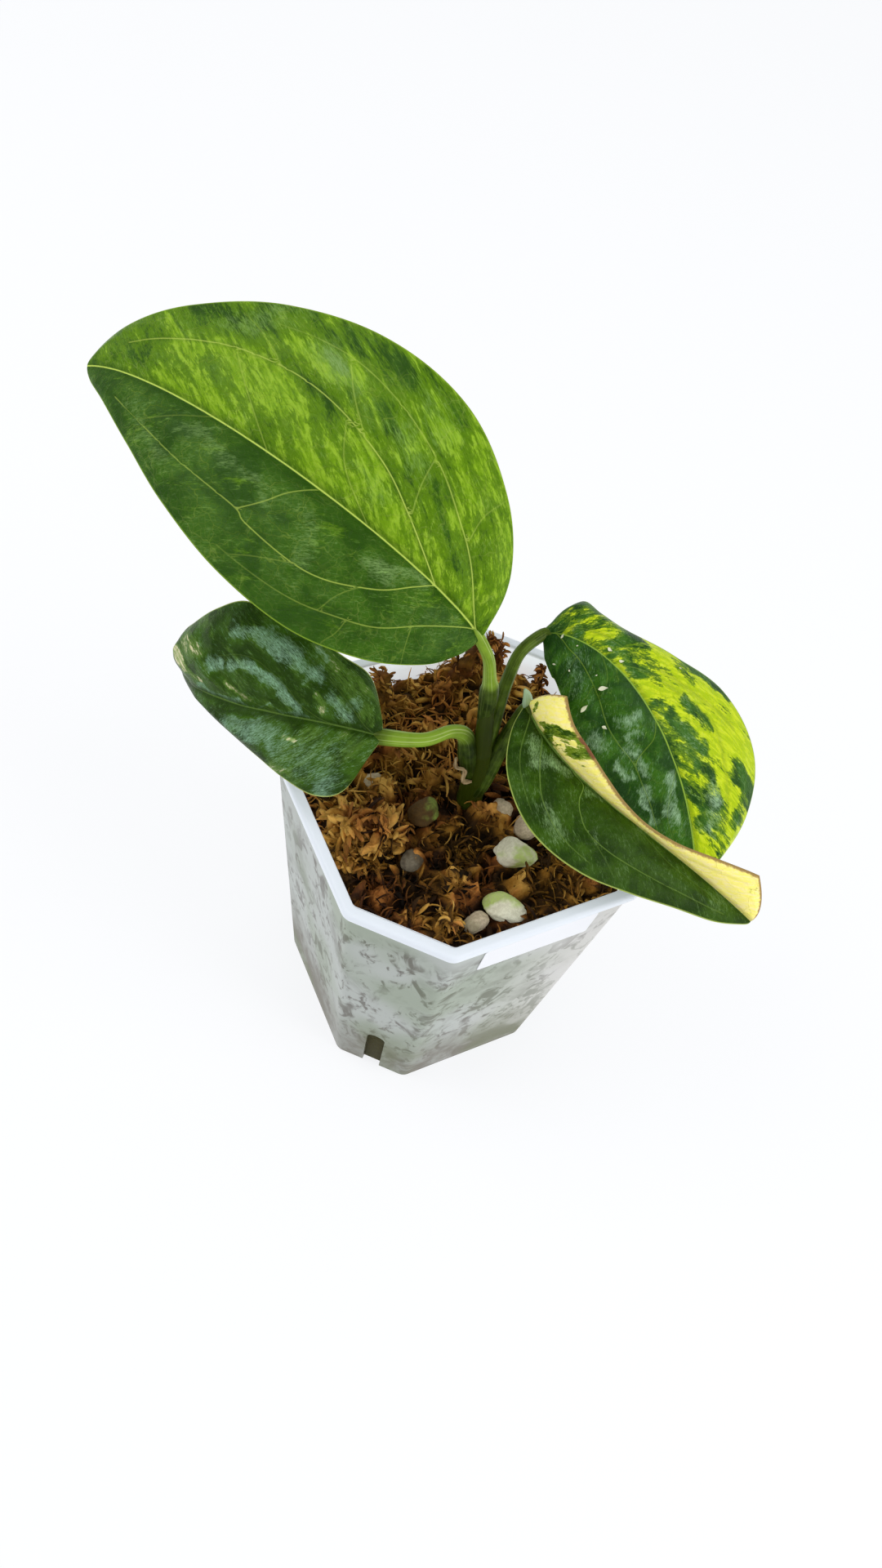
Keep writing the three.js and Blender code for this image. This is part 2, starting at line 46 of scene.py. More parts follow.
# rim, base: width across. The chamfers are what the four short sides cut off each corner.
# lip: how far the rim stands out. skirt: its height. band: its thickness. corner: its rounding.
# outer_round, mouth_round: how far the rim's upper edges are rounded outside and inside.
POT = {
    "height": pot_high.z / MM,
    "rim": (pot_high.x - pot_low.x) / MM,
    "rim_chamfer": 17.5,
    "base": 64.0,
    "base_chamfer": 14.0,
    "lip": 0.9,
    "skirt": 2.6,
    "band": 2.6,
    "wall": 1.2,
    "floor": 1.6,
    "corner": 3.4,
    "outer_round": 0.9,
    "mouth_round": 0.5,
}
# inward, outward: how far the cut reaches to both sides of the wall's foot
SLOT = {"width": 5.0, "height": 25.0, "inward": 8.0, "outward": 6.0}
MOSS_LEVEL = 88.5
STEM_FOOT = (0.0, -1.5)

# The leaves, as they lie along their midribs from base to tip. Lists run from base to tip.
# s and t are places in hundredths, s from base to tip and t from midrib to margin.
# midrib: the four points of its Bezier curve. petiole, girth: the stalk's points and radii.
# face: which way the upper side looks at base and tip.
# right, left: half widths at even turns of the angle whose cosine runs from base to tip.
# trim: half widths at even steps where the left half was cut off.
# rise: angle of the right and the left half from the midrib. bend: how far each half curls down.
# wave: height of the margin's waves, and their number. quilt: height of the bulges between veins.
# collar: how far up the sheath wraps the stalk, and its share of the radius.
# shade: how dark the stalk is, from 0 to 1, partly its own darker green and partly painted shade.
# dark_foot: how far its foot is dark. dark_end: how dark it is with painted shade where it meets the blade.
# veins: strength at both ends, and a curve through (s, t) places.
# share: share of light colour in the right and the left half.
# patches: (side, s, t, s, t, radius, share of light colour), painted in order. Side 1 is the right.
# haze: the same, with a painted highlight above zero and painted shade, a deeper green, below it.
# tones, numbers: what the leaf skin is given. glow: light that comes through the light parts.
# cut_edge: colour of the dried edge of the trimmed half.
LEAF_LARGE = dict(
    midrib=[(-4.4, 4.7, 142.7), (-14, 8.7, 161.4), (-45.6, 74.2, 162.8), (-58, 87, 153.7)],
    face=[(-0.32, -0.45, 0.83), (-0.35, -0.46, 0.82)],
    right=[0, 3, 12.5, 22, 29.5, 30.5, 26, 17.5, 9.5, 3, 0],
    left=[0, 7, 13.5, 20.5, 25, 24.5, 19.5, 12.5, 6.5, 3, 0],
    rise=([15, 15.5, 6], [21, 10.5, 5.5]),
    bend=([25, 22, 15], [25, 22, 15]),
    wave=(0.5, 2.5),
    petiole=[(-0.4, 1.2, 119), (-0.2, 2.2, 126), (-0.4, 3.6, 131), (-1.4, 4.4, 136), (-4.4, 4.7, 142.7)],
    girth=[1.3, 1.75, 1.4, 1.25, 1.2],
    shade=0.1,
    collar=(9.7, 0.2),
    quilt=0.75,
    veins_right=[
        (1, 0.1, [(2, 0), (5, 7), (16, 38), (25, 52), (34, 63), (50, 77), (64, 82)]),
        (1, 0.4, [(19, 0), (23, 9), (31, 24), (40, 38), (56, 52), (75, 56), (88, 52)]),
        (0.3, 0.2, [(35, 0), (43, 20), (47, 44)]),
        (0.3, 0.2, [(55, 0), (63, 30), (68, 55)]),
        (0.3, 0.2, [(30, 22), (32, 42), (33, 62)]),
        (0.3, 0.2, [(43, 41), (48, 58), (52, 78)]),
        (0.25, 0.1, [(60, 54), (65, 70), (70, 86)]),
        (0.3, 0.1, [(20, 46), (21, 70), (20, 97)]),
    ],
    veins_left=[
        (0.65, 0.1, [(4, 0), (10, 25), (16, 46), (22, 66), (30, 74), (38, 80), (52, 85)]),
        (0.7, 0.3, [(19, 0), (22, 16), (27, 38), (37, 56), (50, 57), (54, 53), (69, 58), (86, 60)]),
        (0.35, 0.4, [(45, 2), (48, 18), (50, 34), (53, 53)]),
        (0.14, 0.1, [(66, 0), (72, 25), (78, 58)]),
        (0.18, 0.12, [(29, 43), (31, 58), (32, 75)]),
        (0.16, 0.1, [(40, 57), (46, 72), (50, 85)]),
        (0.2, 0.1, [(17, 50), (15, 75), (13, 97)]),
        (0.18, 0.1, [(27, 70), (27, 85), (28, 97)]),
    ],
    # The right half's higher share is partly its own paler mottling and partly painted light: that half is
    # lit more.
    share=(0.64, -0.2),
    patches=[
        (1, 0, 50, 14, 50, 9, 0.62), (1, 62, 90, 95, 70, 5, 0.3), (1, 50, 10, 78, 40, 4, 0.66),
        (1, 35, 90, 55, 90, 3, 0.3), (1, 50, 50, 60, 60, 2.5, 0.3), (1, 20, 30, 30, 35, 2.5, 0.36),
        (1, 85, 30, 95, 50, 5, 0.28), (1, 30, 50, 42, 60, 4, 0.42),
    ],
    haze=[
        (1, 56, 73, 50, 64, 2.2, 1), (1, 40, 60, 35, 50, 2.2, 0.5), (1, 38, 82, 33, 75, 2, 0.5),
        (1, 40, 26, 36, 20, 1.5, 0.5), (1, 70, 75, 64, 92, 2.2, 0.4), (-1, 66, 7, 65, 10, 1, 1.1),
        (-1, 68, 28, 57, 20, 1.8, 0.45), (-1, 54, 24, 50, 32, 1.4, 0.45), (-1, 42, 28, 39, 50, 1.6, 0.45),
        (-1, 30, 20, 22, 9, 1.8, 0.8), (-1, 80, 50, 70, 70, 2, 0.4), (-1, 39, 88, 31, 86, 3.6, -0.7),
        (-1, 30, 3, 60, 5, 2, -0.7), (-1, 60, 5, 86, 6, 1.4, -0.6), (-1, 20, 45, 10, 30, 4, 0.15),
    ],
    slot="leaf_mottled",
    tones=dict(
        Dark=(44, 80, 12), Green=(62, 102, 20), Middle=(92, 132, 12), Light=(116, 158, 16),
        Pale=(150, 188, 44), Vein=(202, 224, 100), Edge=(150, 182, 56), Sheen=(144, 178, 106),
    ),
    numbers=dict(
        Fine=(0.75, 0.85, 1), Mottle=4.4, Sharp=0.16, Net=0.14, Main=1.0, Rib=1.0, Hollow=0.45, Dust=0.8,
    ),
    glow=0.0,
)
LEAF_LEFT = dict(
    midrib=[(-22.5, 5, 117), (-38, 13.5, 121), (-55, 20, 120), (-54.5, 39.5, 109)],
    face=[(-0.3, -0.4, 0.86), (-0.44, -0.75, 0.49)],
    right=[0, 4.8, 11.7, 14.4, 17.5, 20, 21.5, 18.3, 13.6, 9.2, 0],
    left=[0, 4.5, 13.1, 15.4, 13.5, 10, 6.5, 4.2, 2.7, 1.6, 0],
    rise=([6, 12, 17], [6, 6, 2]),
    bend=([15, 30, 35], [15, 30, 35]),
    wave=(0.3, 2),
    petiole=[
        (-1.9, -1.2, 102), (-3.3, -0.8, 109), (-4.2, 0.9, 114.5), (-8, 1.3, 117.4), (-15, 0.6, 118.4),
        (-22.5, 5, 117),
    ],
    girth=[1.8, 2.3, 1.9, 1.45, 1.5, 1.8],
    shade=0,
    dark_foot=13.5,
    dark_end=0.75,
    quilt=1.5,
    veins_right=[
        (1, 0.3, [(2, 0), (8, 14), (14, 34), (21, 53), (28, 64), (34, 72), (43, 82), (60, 84)]),
        (1, 0.5, [(20, 0), (25, 4), (34, 17), (40, 31), (48, 43), (54, 49), (61, 49), (72, 44)]),
        (0.8, 0.3, [(42, 0), (54, 7), (63, 17), (68, 26), (72, 35), (80, 60)]),
        (0.4, 0.1, [(66, 0), (78, 10), (86, 30), (92, 60)]),
    ],
    veins_left=[
        (0.5, 0.1, [(6, 0), (10, 30), (16, 60), (24, 85)]),
        (0.5, 0.1, [(20, 0), (26, 30), (36, 55), (50, 75)]),
        (0.6, 0.3, [(42, 0), (50, 25), (60, 50), (74, 50)]),
    ],
    share=(0.1, 0),
    patches=[
        (1, 8, 50, 26, 84, 4, 0.3), (1, 33, 92, 28, 80, 1.2, 0.45), (1, 26, 81, 21, 75, 0.8, 0.5),
        (1, 16, 79, 11, 63, 0.9, 0.5), (1, 29, 30, 25, 25, 0.6, 0.55), (1, 25, 20, 25, 13, 0.7, 0.6),
        (1, 9, 29, 5, 20, 0.8, 0.5), (1, 67, 20, 55, 9, 0.45, 0.62), (1, 90, 64, 81, 52, 2, 0.42),
        (1, 96, 55, 90, 30, 1.7, 0.85), (1, 90, 30, 80, 13, 0.9, 0.7), (-1, 10, 30, 35, 70, 6, 0.2),
        (-1, 38, 36, 34, 36, 0.6, 0.7), (-1, 40, 92, 32, 82, 1.2, 0.5),
    ],
    haze=[
        (1, 75, 90, 58, 89, 2.4, -0.5), (1, 78, 70, 77, 60, 0.9, -1), (1, 72, 64, 70, 55, 0.9, -1),
        (1, 62, 62, 52, 56, 1.3, -1), (1, 52, 56, 46, 50, 1.2, -0.9), (1, 38, 46, 30, 34, 1.2, -0.8),
        (1, 73, 22, 69, 12, 1.1, -0.9), (1, 60, 29, 54, 24, 1, -0.7), (1, 52, 16, 38, 6, 1.4, -0.8),
        (1, 65, 72, 56, 74, 1.5, 0.8), (1, 56, 74, 47, 72, 1.6, 0.9), (1, 47, 72, 41, 64, 1.8, 1),
        (1, 41, 64, 29, 49, 1.7, 0.9), (1, 22, 36, 14, 23, 1.3, 0.7), (1, 65, 38, 56, 42, 1.2, 0.9),
        (1, 56, 42, 48, 34, 1.4, 1), (1, 48, 31, 34, 13, 1.2, 1), (1, 30, 87, 28, 80, 1.1, 0.8),
        (1, 74, 39, 71, 35, 0.8, 1), (1, 83, 3, 61, 5, 0.8, 0.9), (1, 61, 5, 31, 3, 0.5, 0.7),
        (1, 52, 50, 40, 31, 0.6, -1), (1, 40, 31, 26, 5, 0.6, -1), (-1, 70, 15, 33, 10, 0.9, -0.9),
        (-1, 64, 56, 52, 42, 1.5, 0.8), (-1, 52, 42, 38, 53, 1.7, 0.8), (-1, 38, 53, 28, 59, 1.8, 0.7),
        (-1, 18, 70, 18, 89, 2.8, 0.7), (-1, 20, 40, 35, 60, 3.5, 0.32),
    ],
    slot="leaf_dark",
    tones=dict(
        Dark=(36, 62, 6), Green=(62, 98, 20), Middle=(84, 118, 40), Light=(150, 172, 100),
        Pale=(232, 222, 180), Vein=(110, 142, 60), Edge=(200, 212, 120), Sheen=(150, 190, 160),
    ),
    numbers=dict(
        Fine=(1, 1, 1), Mottle=3.0, Sharp=0.12, Net=0.1, Main=0.25, Rib=0.5, Hollow=0.8, Dust=0.95,
    ),
    glow=0.0,
)
LEAF_RIGHT = dict(
    midrib=[(13.9, 8.6, 133.8), (21.2, -1.8, 144.6), (39.1, -18, 123.9), (38.5, -39.8, 95.2)],
    face=[(-0.18, -0.22, 0.96), (-0.16, -0.46, 0.87)],
    right=[0, 8.8, 10, 11.4, 14, 16.3, 16.8, 15, 10.5, 4.8, 0],
    left=[0, 3.9, 10.9, 9.9, 10.7, 15.2, 21.4, 21.2, 15, 6.5, 0],
    rise=([-38, -18, -10], [-6, -6, 5]),
    bend=([15, 25, 20], [25, 30, 20]),
    wave=(0.4, 3),
    petiole=[
        (1, -0.9, 100), (2.2, 0.4, 107), (3.1, 1.9, 113.5), (4.2, 3.3, 120), (5.6, 4.8, 126),
        (8.4, 6.8, 131.4), (13.9, 8.6, 133.8),
    ],
    girth=[1.1, 1.7, 1.75, 1.55, 1.45, 1.4, 1.4],
    shade=0.75,
    quilt=0.9,
    veins_right=[
        (1, 0.5, [
            (6, 0), (11, 12), (15, 23), (22, 30), (30, 39), (41, 49), (50, 56), (58, 55), (66, 49),
            (73, 50), (80, 51), (87, 59),
        ]),
        (0.6, 0.8, [(57, 0), (60, 8), (62, 17), (65, 42), (68, 50)]),
        (0.5, 0.2, [(72, 0), (78, 20), (84, 35), (92, 40)]),
        (0.4, 0.2, [(20, 29), (20, 50), (17, 80)]),
        (0.4, 0.2, [(28, 0), (36, 20), (40, 48)]),
        (0.4, 0.1, [(34, 43), (36, 65), (36, 95)]),
    ],
    veins_left=[
        (0.7, 0.4, [(4, 0), (10, 10), (20, 34), (31, 44), (43, 51), (52, 59), (60, 63), (72, 80)]),
        (0.6, 0.3, [(34, 0), (37, 10), (45, 36), (56, 47), (65, 55), (70, 58), (78, 52), (90, 50)]),
        (0.3, 0.2, [(56, 0), (66, 16), (76, 26), (88, 28)]),
    ],
    share=(-0.2, 0.92),
    patches=[
        (-1, 0, 30, 26, 60, 9, 0.32), (-1, 0, 30, 10, 50, 5, 0.2), (-1, 30, 30, 36, 75, 2.6, 0.34),
        (-1, 30, 90, 40, 74, 2.2, 0.26), (-1, 12, 43, 18, 64, 1.8, 0.5), (-1, 20, 20, 28, 50, 1.2, 0.6),
        (-1, 34, 27, 40, 45, 1.2, 0.6), (-1, 39, 14, 49, 35, 1.7, 0.15), (-1, 40, 45, 50, 60, 1.6, 0.42),
        (-1, 50, 88, 56, 76, 2, 0.44), (-1, 53, 98, 66, 99, 1.6, 0.15), (-1, 59, 44, 68, 51, 1.2, 0.44),
        (-1, 54, 5, 74, 10, 1.9, 0.42), (-1, 60, 12, 74, 20, 1.7, 0.52), (-1, 58, 17, 71, 34, 1.5, 0.05),
        (-1, 76, 25, 90, 42, 2.6, 0.42), (-1, 77, 4, 82, 16, 1.7, 0.2), (-1, 75, 19, 78, 30, 1.3, 0.15),
        (-1, 87, 14, 94, 60, 2.1, 0.36), (-1, 81, 67, 87, 93, 2.4, 0), (-1, 87, 84, 90, 69, 1.5, 0.34),
        (-1, 95, 62, 98, 80, 1.3, 0.35),
    ],
    haze=[
        (1, 40, 5, 56, 6, 1.5, -0.9), (1, 56, 6, 66, 3, 1.2, -0.7), (1, 71, 3, 90, 8, 0.8, -0.8),
        (1, 62, 78, 82, 70, 0.8, -0.7), (1, 52, 36, 53, 20, 1.1, 1), (1, 57, 40, 57, 26, 1.2, 0.8),
        (1, 51, 78, 56, 77, 1.3, 0.8), (1, 60, 52, 63, 43, 1.2, 0.9), (1, 62, 67, 70, 63, 0.8, 1),
        (1, 66, 38, 69, 42, 1, 0.9), (1, 74, 53, 83, 54, 0.8, 1), (1, 74, 14, 78, 15, 1.1, 1),
        (1, 81, 25, 85, 14, 1.1, 1), (1, 20, 30, 30, 60, 3, 0.25), (-1, 81, 29, 85, 32, 1.6, 0.9),
        (-1, 88, 22, 89, 27, 1.2, 0.8),
    ],
    slot="leaf_yellow",
    tones=dict(
        Dark=(32, 70, 16), Green=(60, 108, 24), Middle=(100, 136, 20), Light=(172, 198, 10),
        Pale=(206, 222, 30), Vein=(152, 186, 66), Edge=(140, 170, 60), Sheen=(164, 198, 160),
    ),
    numbers=dict(
        Fine=(0.85, 0.95, 1), Mottle=4.6, Sharp=0.08, Net=0.16, Main=0.45, Rib=0.9, Hollow=0.4, Dust=0.95,
    ),
    glow=0.06,
)
LEAF_FOLDED = dict(
    midrib=[(7.8, -1, 123), (3.7, -24.5, 126.9), (22.6, -33.6, 116.8), (40.5, -55.5, 101.7)],
    face=[(-0.27, -0.42, 0.87), (-0.24, -0.45, 0.86)],
    right=[0, 2.1, 6.8, 12.8, 16.9, 16.8, 13.6, 9.8, 6.5, 2.6, 0],
    left=[0, 4.6, 9.6, 15, 18, 18, 17, 15, 9.6, 4.6, 0],
    trim=[12, 11, 8.5, 7.5, 5.4, 3.2, 2.2, 3.3, 6.5, 9.7, 12],
    rise=([29.5, 35, 30], [50.5, 61.5, 43]),
    bend=([25, 30, 20], [5, 5, 5]),
    wave=(0, 1),
    petiole=[
        (-0.4, -2, 92.5), (0.4, -3, 97), (2, -2.4, 102), (4.3, -1.4, 109), (6.4, -0.6, 116), (7.8, -1, 123),
    ],
    girth=[0.9, 2, 2.3, 1.95, 1.5, 1.3],
    shade=0.85,
    quilt=0.7,
    veins_right=[
        (1, 0.3, [(6, 0), (13, 6), (17, 20), (20, 33), (26, 53), (31, 66), (40, 78), (50, 84)]),
        (1, 0.3, [(30, 0), (36, 6), (38, 27), (41, 41), (47, 55), (62, 62), (82, 65), (92, 62)]),
        (0.7, 0.2, [(3, 0), (8, 36), (14, 62), (20, 75), (30, 85)]),
        (0.3, 0.1, [(58, 0), (66, 15), (76, 28), (90, 30)]),
        (0.3, 0.1, [(45, 52), (53, 70), (58, 85)]),
    ],
    veins_left=[
        (0.3, 0.1, [(5, 0), (20, 50), (30, 90)]),
        (0.3, 0.1, [(60, 0), (75, 40), (90, 70)]),
    ],
    share=(-0.3, 1),
    patches=[
        (-1, 15, 10, 29, 99, 3.1, 0.33), (-1, 9, 14, 23, 95, 0.7, 0.15), (-1, 18, 24, 22, 36, 0.6, 0.7),
        (-1, 24, 76, 25, 80, 0.8, 0.9), (-1, 4, 34, 4.5, 40, 1, 0.35),
    ],
    haze=[
        (1, 15, 36, 22, 37, 1.6, 0.7), (1, 23, 23, 29, 15, 1.8, 0.8), (1, 33, 66, 40, 80, 1.5, 0.6),
        (1, 40, 32, 49, 56, 0.8, 0.8), (1, 40, 14, 44, 8, 1.3, 0.7), (1, 45, 30, 67, 30, 3.4, -0.5),
        (1, 30, 35, 40, 50, 2.2, -0.4), (1, 60, 80, 80, 80, 2, -0.3),
    ],
    slot="leaf_cream",
    tones=dict(
        Dark=(33, 60, 1), Green=(55, 88, 7), Middle=(128, 154, 34), Light=(252, 240, 124),
        Pale=(255, 238, 164), Vein=(126, 158, 70), Edge=(190, 208, 104), Sheen=(160, 194, 134),
    ),
    numbers=dict(
        Fine=(1, 1, 1), Mottle=3.4, Sharp=0.09, Net=0.1, Main=0.8, Rib=0.6, Hollow=0.4, Dust=0.85,
    ),
    glow=0.2,
    cut_edge=(140, 92, 62),
)
LEAVES = {
    "leaf_large": LEAF_LARGE,
    "leaf_left": LEAF_LEFT,
    "leaf_right": LEAF_RIGHT,
    "leaf_folded": LEAF_FOLDED,
}

# base, tip: the midrib's radius below the blade. sunk: how deep it lies. stations: where, as shares.
MIDRIB = {"base": 1.0, "tip": 0.35, "sunk": 0.4, "stations": (0.05, 0.14, 0.32, 0.5, 0.68, 0.85)}
# thick, thin: thickness at the midrib and the margin. least: least half width. fade: half width under
# which the bulges fade. vein_reach, rib_reach: how far from them the blade stays low. groove, channel:
# depth and half width of the line along a side vein and along the midrib.
BLADE = {
    "rows": 210, "columns": 58, "thick": 0.5, "thin": 0.28, "least": 0.12, "fade": 8.0,
    "vein_reach": 2.4, "rib_reach": 3.0, "groove": (0.1, 0.45), "channel": (0.45, 0.75),
}

# Tubes: points and radii, how finely they are made, and a direction square to their start
STEM = {
    "points": [
        (0.3, -1.4, 66), (0, -1.5, 84), (-0.1, -1.4, 98),
        (-0.3, -0.9, 110), (-0.3, 0.6, 118), (-0.3, 1.6, 123),
    ],
    "girth": [1.8, 2.6, 2.9, 2.2, 1.8, 1.3],
    "sides": 32, "spacing": 0.5, "hint": (1, 0, 0),
}
SCRAP = {
    "points": [
        (-2.6, -3.2, 102), (-4.7, -3.3, 103.4), (-4.5, -2.6, 106.4), (-6.5, -1.8, 107.6), (-6.5, -1, 110),
    ],
    "girth": [0.4, 0.5, 0.4, 0.52, 0.3],
    "sides": 20, "spacing": 0.25, "hint": (1, 0, 0),
}
HOOD = {
    "points": [(7.9, -1.3, 122.2), (7.9, -0.8, 124), (7.7, -0.1, 125.6), (7.2, 0.6, 127)],
    "girth": [1.0, 1.5, 1.1, 0.3],
    "sides": 20, "spacing": 0.2, "hint": (0.3, -1, 0.2),
}
STALK_TONES = {
    "leaf_stalk": dict(Light=(136, 168, 52), Dark=(34, 50, 3), Stripe=(196, 214, 132)),
    "stem_skin": dict(Light=(58, 76, 12), Dark=(52, 64, 8), Stripe=(100, 110, 40)),
    "hood_skin": dict(Light=(168, 196, 158), Dark=(120, 150, 110), Stripe=(206, 222, 196)),
}

# Flakes on the blade: side, s and t as shares, length, width, turn
FLAKES = [
    (1, 0.375, 0.35, 2.2, 1.1, 60), (1, 0.39, 0.73, 2.3, 0.9, 110), (1, 0.5, 0.6, 1.3, 0.8, 30),
    (-1, 0.3, 0.15, 1.2, 0.9, 0), (-1, 0.355, 0.14, 1.4, 0.7, 40), (1, 0.104, 0.03, 1.2, 0.5, 70),
    (1, 0.096, 0.62, 0.8, 0.4, 20), (1, 0.21, 0.56, 0.6, 0.5, 0), (1, 0.183, 0.1, 0.5, 0.3, 50),
    (1, 0.323, 0.29, 0.5, 0.3, 80), (-1, 0.52, 0.8, 0.9, 0.3, 20),
]
FLAKE_TONE = (226, 226, 196)

# Pumice and gravel: place, size across, turn, look, way its coloured patch faces
STONES = [
    (3.2, -18.4, 91.5, (10, 7.4, 6.4), -28, "pumice_green", -50),
    (-4.5, -30, 91, (10.6, 7.4, 6), -20, "pumice_green", 120),
    (-11.8, -1.8, 91.5, (7.4, 7, 7), 40, "gravel_olive", 0),
    (-19, -12, 90.5, (5.6, 4.8, 5), 15, "gravel_grey", 0),
    (6.6, -6.4, 90, (6, 5, 5), 60, "pumice_tan", 0),
    (9.5, -12.5, 90.5, (7.2, 6, 5.5), 10, "pumice_tan", 0),
    (-19, 11, 89.5, (5, 4.4, 4.4), 75, "pumice_tan", 90),
    (-11.5, -30.5, 89.5, (6, 5, 4.5), 5, "pumice_tan", 180),
    (27, -8, 89.5, (7, 5.6, 5), 35, "pumice_tan", 0),
    (14, 17, 89.5, (6, 5, 4.6), -50, "gravel_grey", 90),
]
# The patch's amount, and the tones of the stone's body, its patch and its pits
STONE_LOOKS = {
    "pumice_green": (0.1, dict(Body=(238, 234, 208), Patch=(186, 206, 112), Pits=(190, 184, 150))),
    "pumice_tan": (0.1, dict(Body=(212, 194, 164), Patch=(176, 164, 132), Pits=(130, 112, 88))),
    "gravel_olive": (0.07, dict(Body=(98, 70, 24), Patch=(142, 162, 66), Pits=(56, 40, 14))),
    "gravel_grey": (0.1, dict(Body=(124, 114, 94), Patch=(98, 84, 62), Pits=(62, 54, 40))),
}

# Heaps in the moss: centre, radius, height. Twists of moss that stand out of it: points and radii
HEAPS = [(-27, -2, 8, 5.5), (16, 29, 8, 4), (-12, 27, 8, 2.5), (0, 0, 9, 4), (-19, -26, 5, 2.5)]
TWISTS = [
    ([(9, 30, 86), (12, 31, 94), (16, 32, 99), (20.5, 32.5, 103)], [3.2, 2.5, 1.8, 1.6]),
    ([(19, 29.5, 86), (22, 30.5, 93), (22.4, 32, 98.5), (20, 32.5, 103)], [2.2, 1.3, 1.1, 1]),
    ([(-11, 30, 86), (-9.5, 31, 93), (-8, 32.5, 99.5)], [3, 2.6, 1.7]),
    ([(30, 21, 86), (31, 23, 91), (30.8, 23.8, 97)], [1.6, 0.8, 0.6]),
    ([(-17, -27, 85), (-17.8, -28.6, 93), (-19.2, -31.5, 96.5)], [2.2, 1.2, 0.7]),
    ([(-31, -5, 86), (-28, -3, 94.5), (-24, -4.5, 92), (-22.5, -6, 86)], [2.4, 2, 1.7, 1.6]),
]
# Loose shoots: count, seed, tone, length, width, and the circle they keep to as x, y and radius
SHOOTS = {
    "moss_flakes": (1300, 1, (0.1, 0.7), (2.6, 6), (0.35, 1.0), None),
    "moss_threads": (2200, 2, (0.1, 0.72), (3, 7), (0.15, 0.4), None),
    "moss_clump_left": (420, 3, (0.6, 1.1), (2.6, 6), (0.5, 1.2), (-27, -3, 8)),
}

BLACK = (0, 0, 0, 1)
UNDERSIDE = (150, 175, 95)
# Moss from its creases to its tips: places and tones. The dark creases are painted shade, and the
# bright tips are partly their own colour and partly painted highlight. MOSS_FOOT: its tone down in the pot
RUSTY = [(0.0, (16, 9, 4)), (0.3, (50, 27, 11)), (0.62, (120, 70, 26)), (1.0, (204, 134, 64))]
GOLDEN = [(0.0, (20, 13, 4)), (0.3, (66, 44, 14)), (0.62, (158, 110, 38)), (1.0, (230, 178, 88))]
MOSS_FOOT = (70, 66, 22)
# Pot tones. lit is painted light on the side where the light falls. rim is the rim's paler tone, painted
# light that comes through it.
POT_TONES = {
    "grey": (180, 186, 181), "green": (156, 167, 150), "lit": (219, 216, 213), "rim": (226, 232, 240),
    "stain": (88, 82, 72), "stain_green": (86, 92, 66), "foot": (92, 84, 62), "foot_green": (88, 92, 46),
}

# Rows along a shoot, and corners of its section
SHOOT_ROWS, SHOOT_SIDES = 6, 4
# Places round the cushion, and its rings from the wall to the middle
CUSHION = {"around": 300, "rings": 120}

# Camera, from the photograph's view of the rim and the foot
CAMERA = {
    "place": (-95.01, -116.55, 310.86),
    "right": (0.90201, -0.40563, 0.14780),
    "up": (0.26743, 0.79375, 0.54630),
    "back": (-0.33891, -0.45324, 0.82445),
    "lens": 26.25,
}
# Lamps: place in metres and power. They face one target.
LAMPS = {"window": ((-0.5, 0.3, 0.8), 2.3), "room": ((0.45, -0.6, 0.6), 2.9)}
LAMP_TARGET, LAMP_SIZE = (0, 0, 0.1), 0.6
FLOOR_REACH = 4.0


# Curves and noise
def through(values, x):
    """A smooth curve through evenly spaced values, at shares x of the way from first to last."""
    v = np.asarray(values, float)
    last = len(v) - 1
    place = np.clip(x, 0, 1) * last
    i = np.minimum(place.astype(int), last - 1)
    u = place - i
    v = np.concatenate([[2 * v[0] - v[1]], v, [2 * v[-1] - v[-2]]])
    a, b, c, d = v[i], v[i + 1], v[i + 2], v[i + 3]
    if v.ndim > 1:
        u = u[..., None]
    return b + 0.5 * u * (c - a + u * (2 * a - 5 * b + 4 * c - d + u * (3 * (b - c) + d - a)))


def unit(v):
    """Vectors at length one."""
    return v / np.maximum(np.linalg.norm(v, axis=-1, keepdims=True), 1e-9)


def bell(x, reach):
    """Falls smoothly from one at zero to about a third at its reach."""
    return np.exp(-((x / reach) ** 2))


def falling(x, steep):
    """Falls smoothly from one to zero as x goes through zero."""
    return 1 / (1 + np.exp(x * steep))


def noise(x, y, seed):
    """Random heights from 0 to 1 on a unit lattice, joined by smooth steps."""
    lattice = np.random.default_rng(seed).random((64, 64))
    i, j = np.floor(x).astype(int), np.floor(y).astype(int)
    u, v = x - i, y - j
    u, v = u * u * (3 - 2 * u), v * v * (3 - 2 * v)
    at = lambda di, dj: lattice[(i + di) % 64, (j + dj) % 64]
    low = at(0, 0) * (1 - u) + at(1, 0) * u
    high = at(0, 1) * (1 - u) + at(1, 1) * u
    return low * (1 - v) + high * v


def fractal(x, y, seed, octaves=4):
    """Layers of noise, each twice as fine and half as high as the one before, about zero."""
    layers = [(noise(x * 2**k, y * 2**k, seed + k) - 0.5) / 2**k for k in range(octaves)]
    return sum(layers)


# Meshes
def grid_faces(rows, columns, closed=False):
    """Quads of a grid of points, row by row. A closed grid joins its last column to its first."""
    i, j = np.meshgrid(np.arange(rows - 1), np.arange(columns if closed else columns - 1), indexing="ij")
    k = (j + 1) % columns
    quads = np.stack([i * columns + j, i * columns + k, (i + 1) * columns + k, (i + 1) * columns + j], -1)
    return quads.reshape(-1, 4)


def fan(ring, centre, flip=False):
    """Triangles from a centre to each edge of a ring."""
    after = np.roll(ring, -1)
    faces = np.stack([np.full(len(ring), centre), ring, after], -1)
    return faces[:, ::-1] if flip else faces


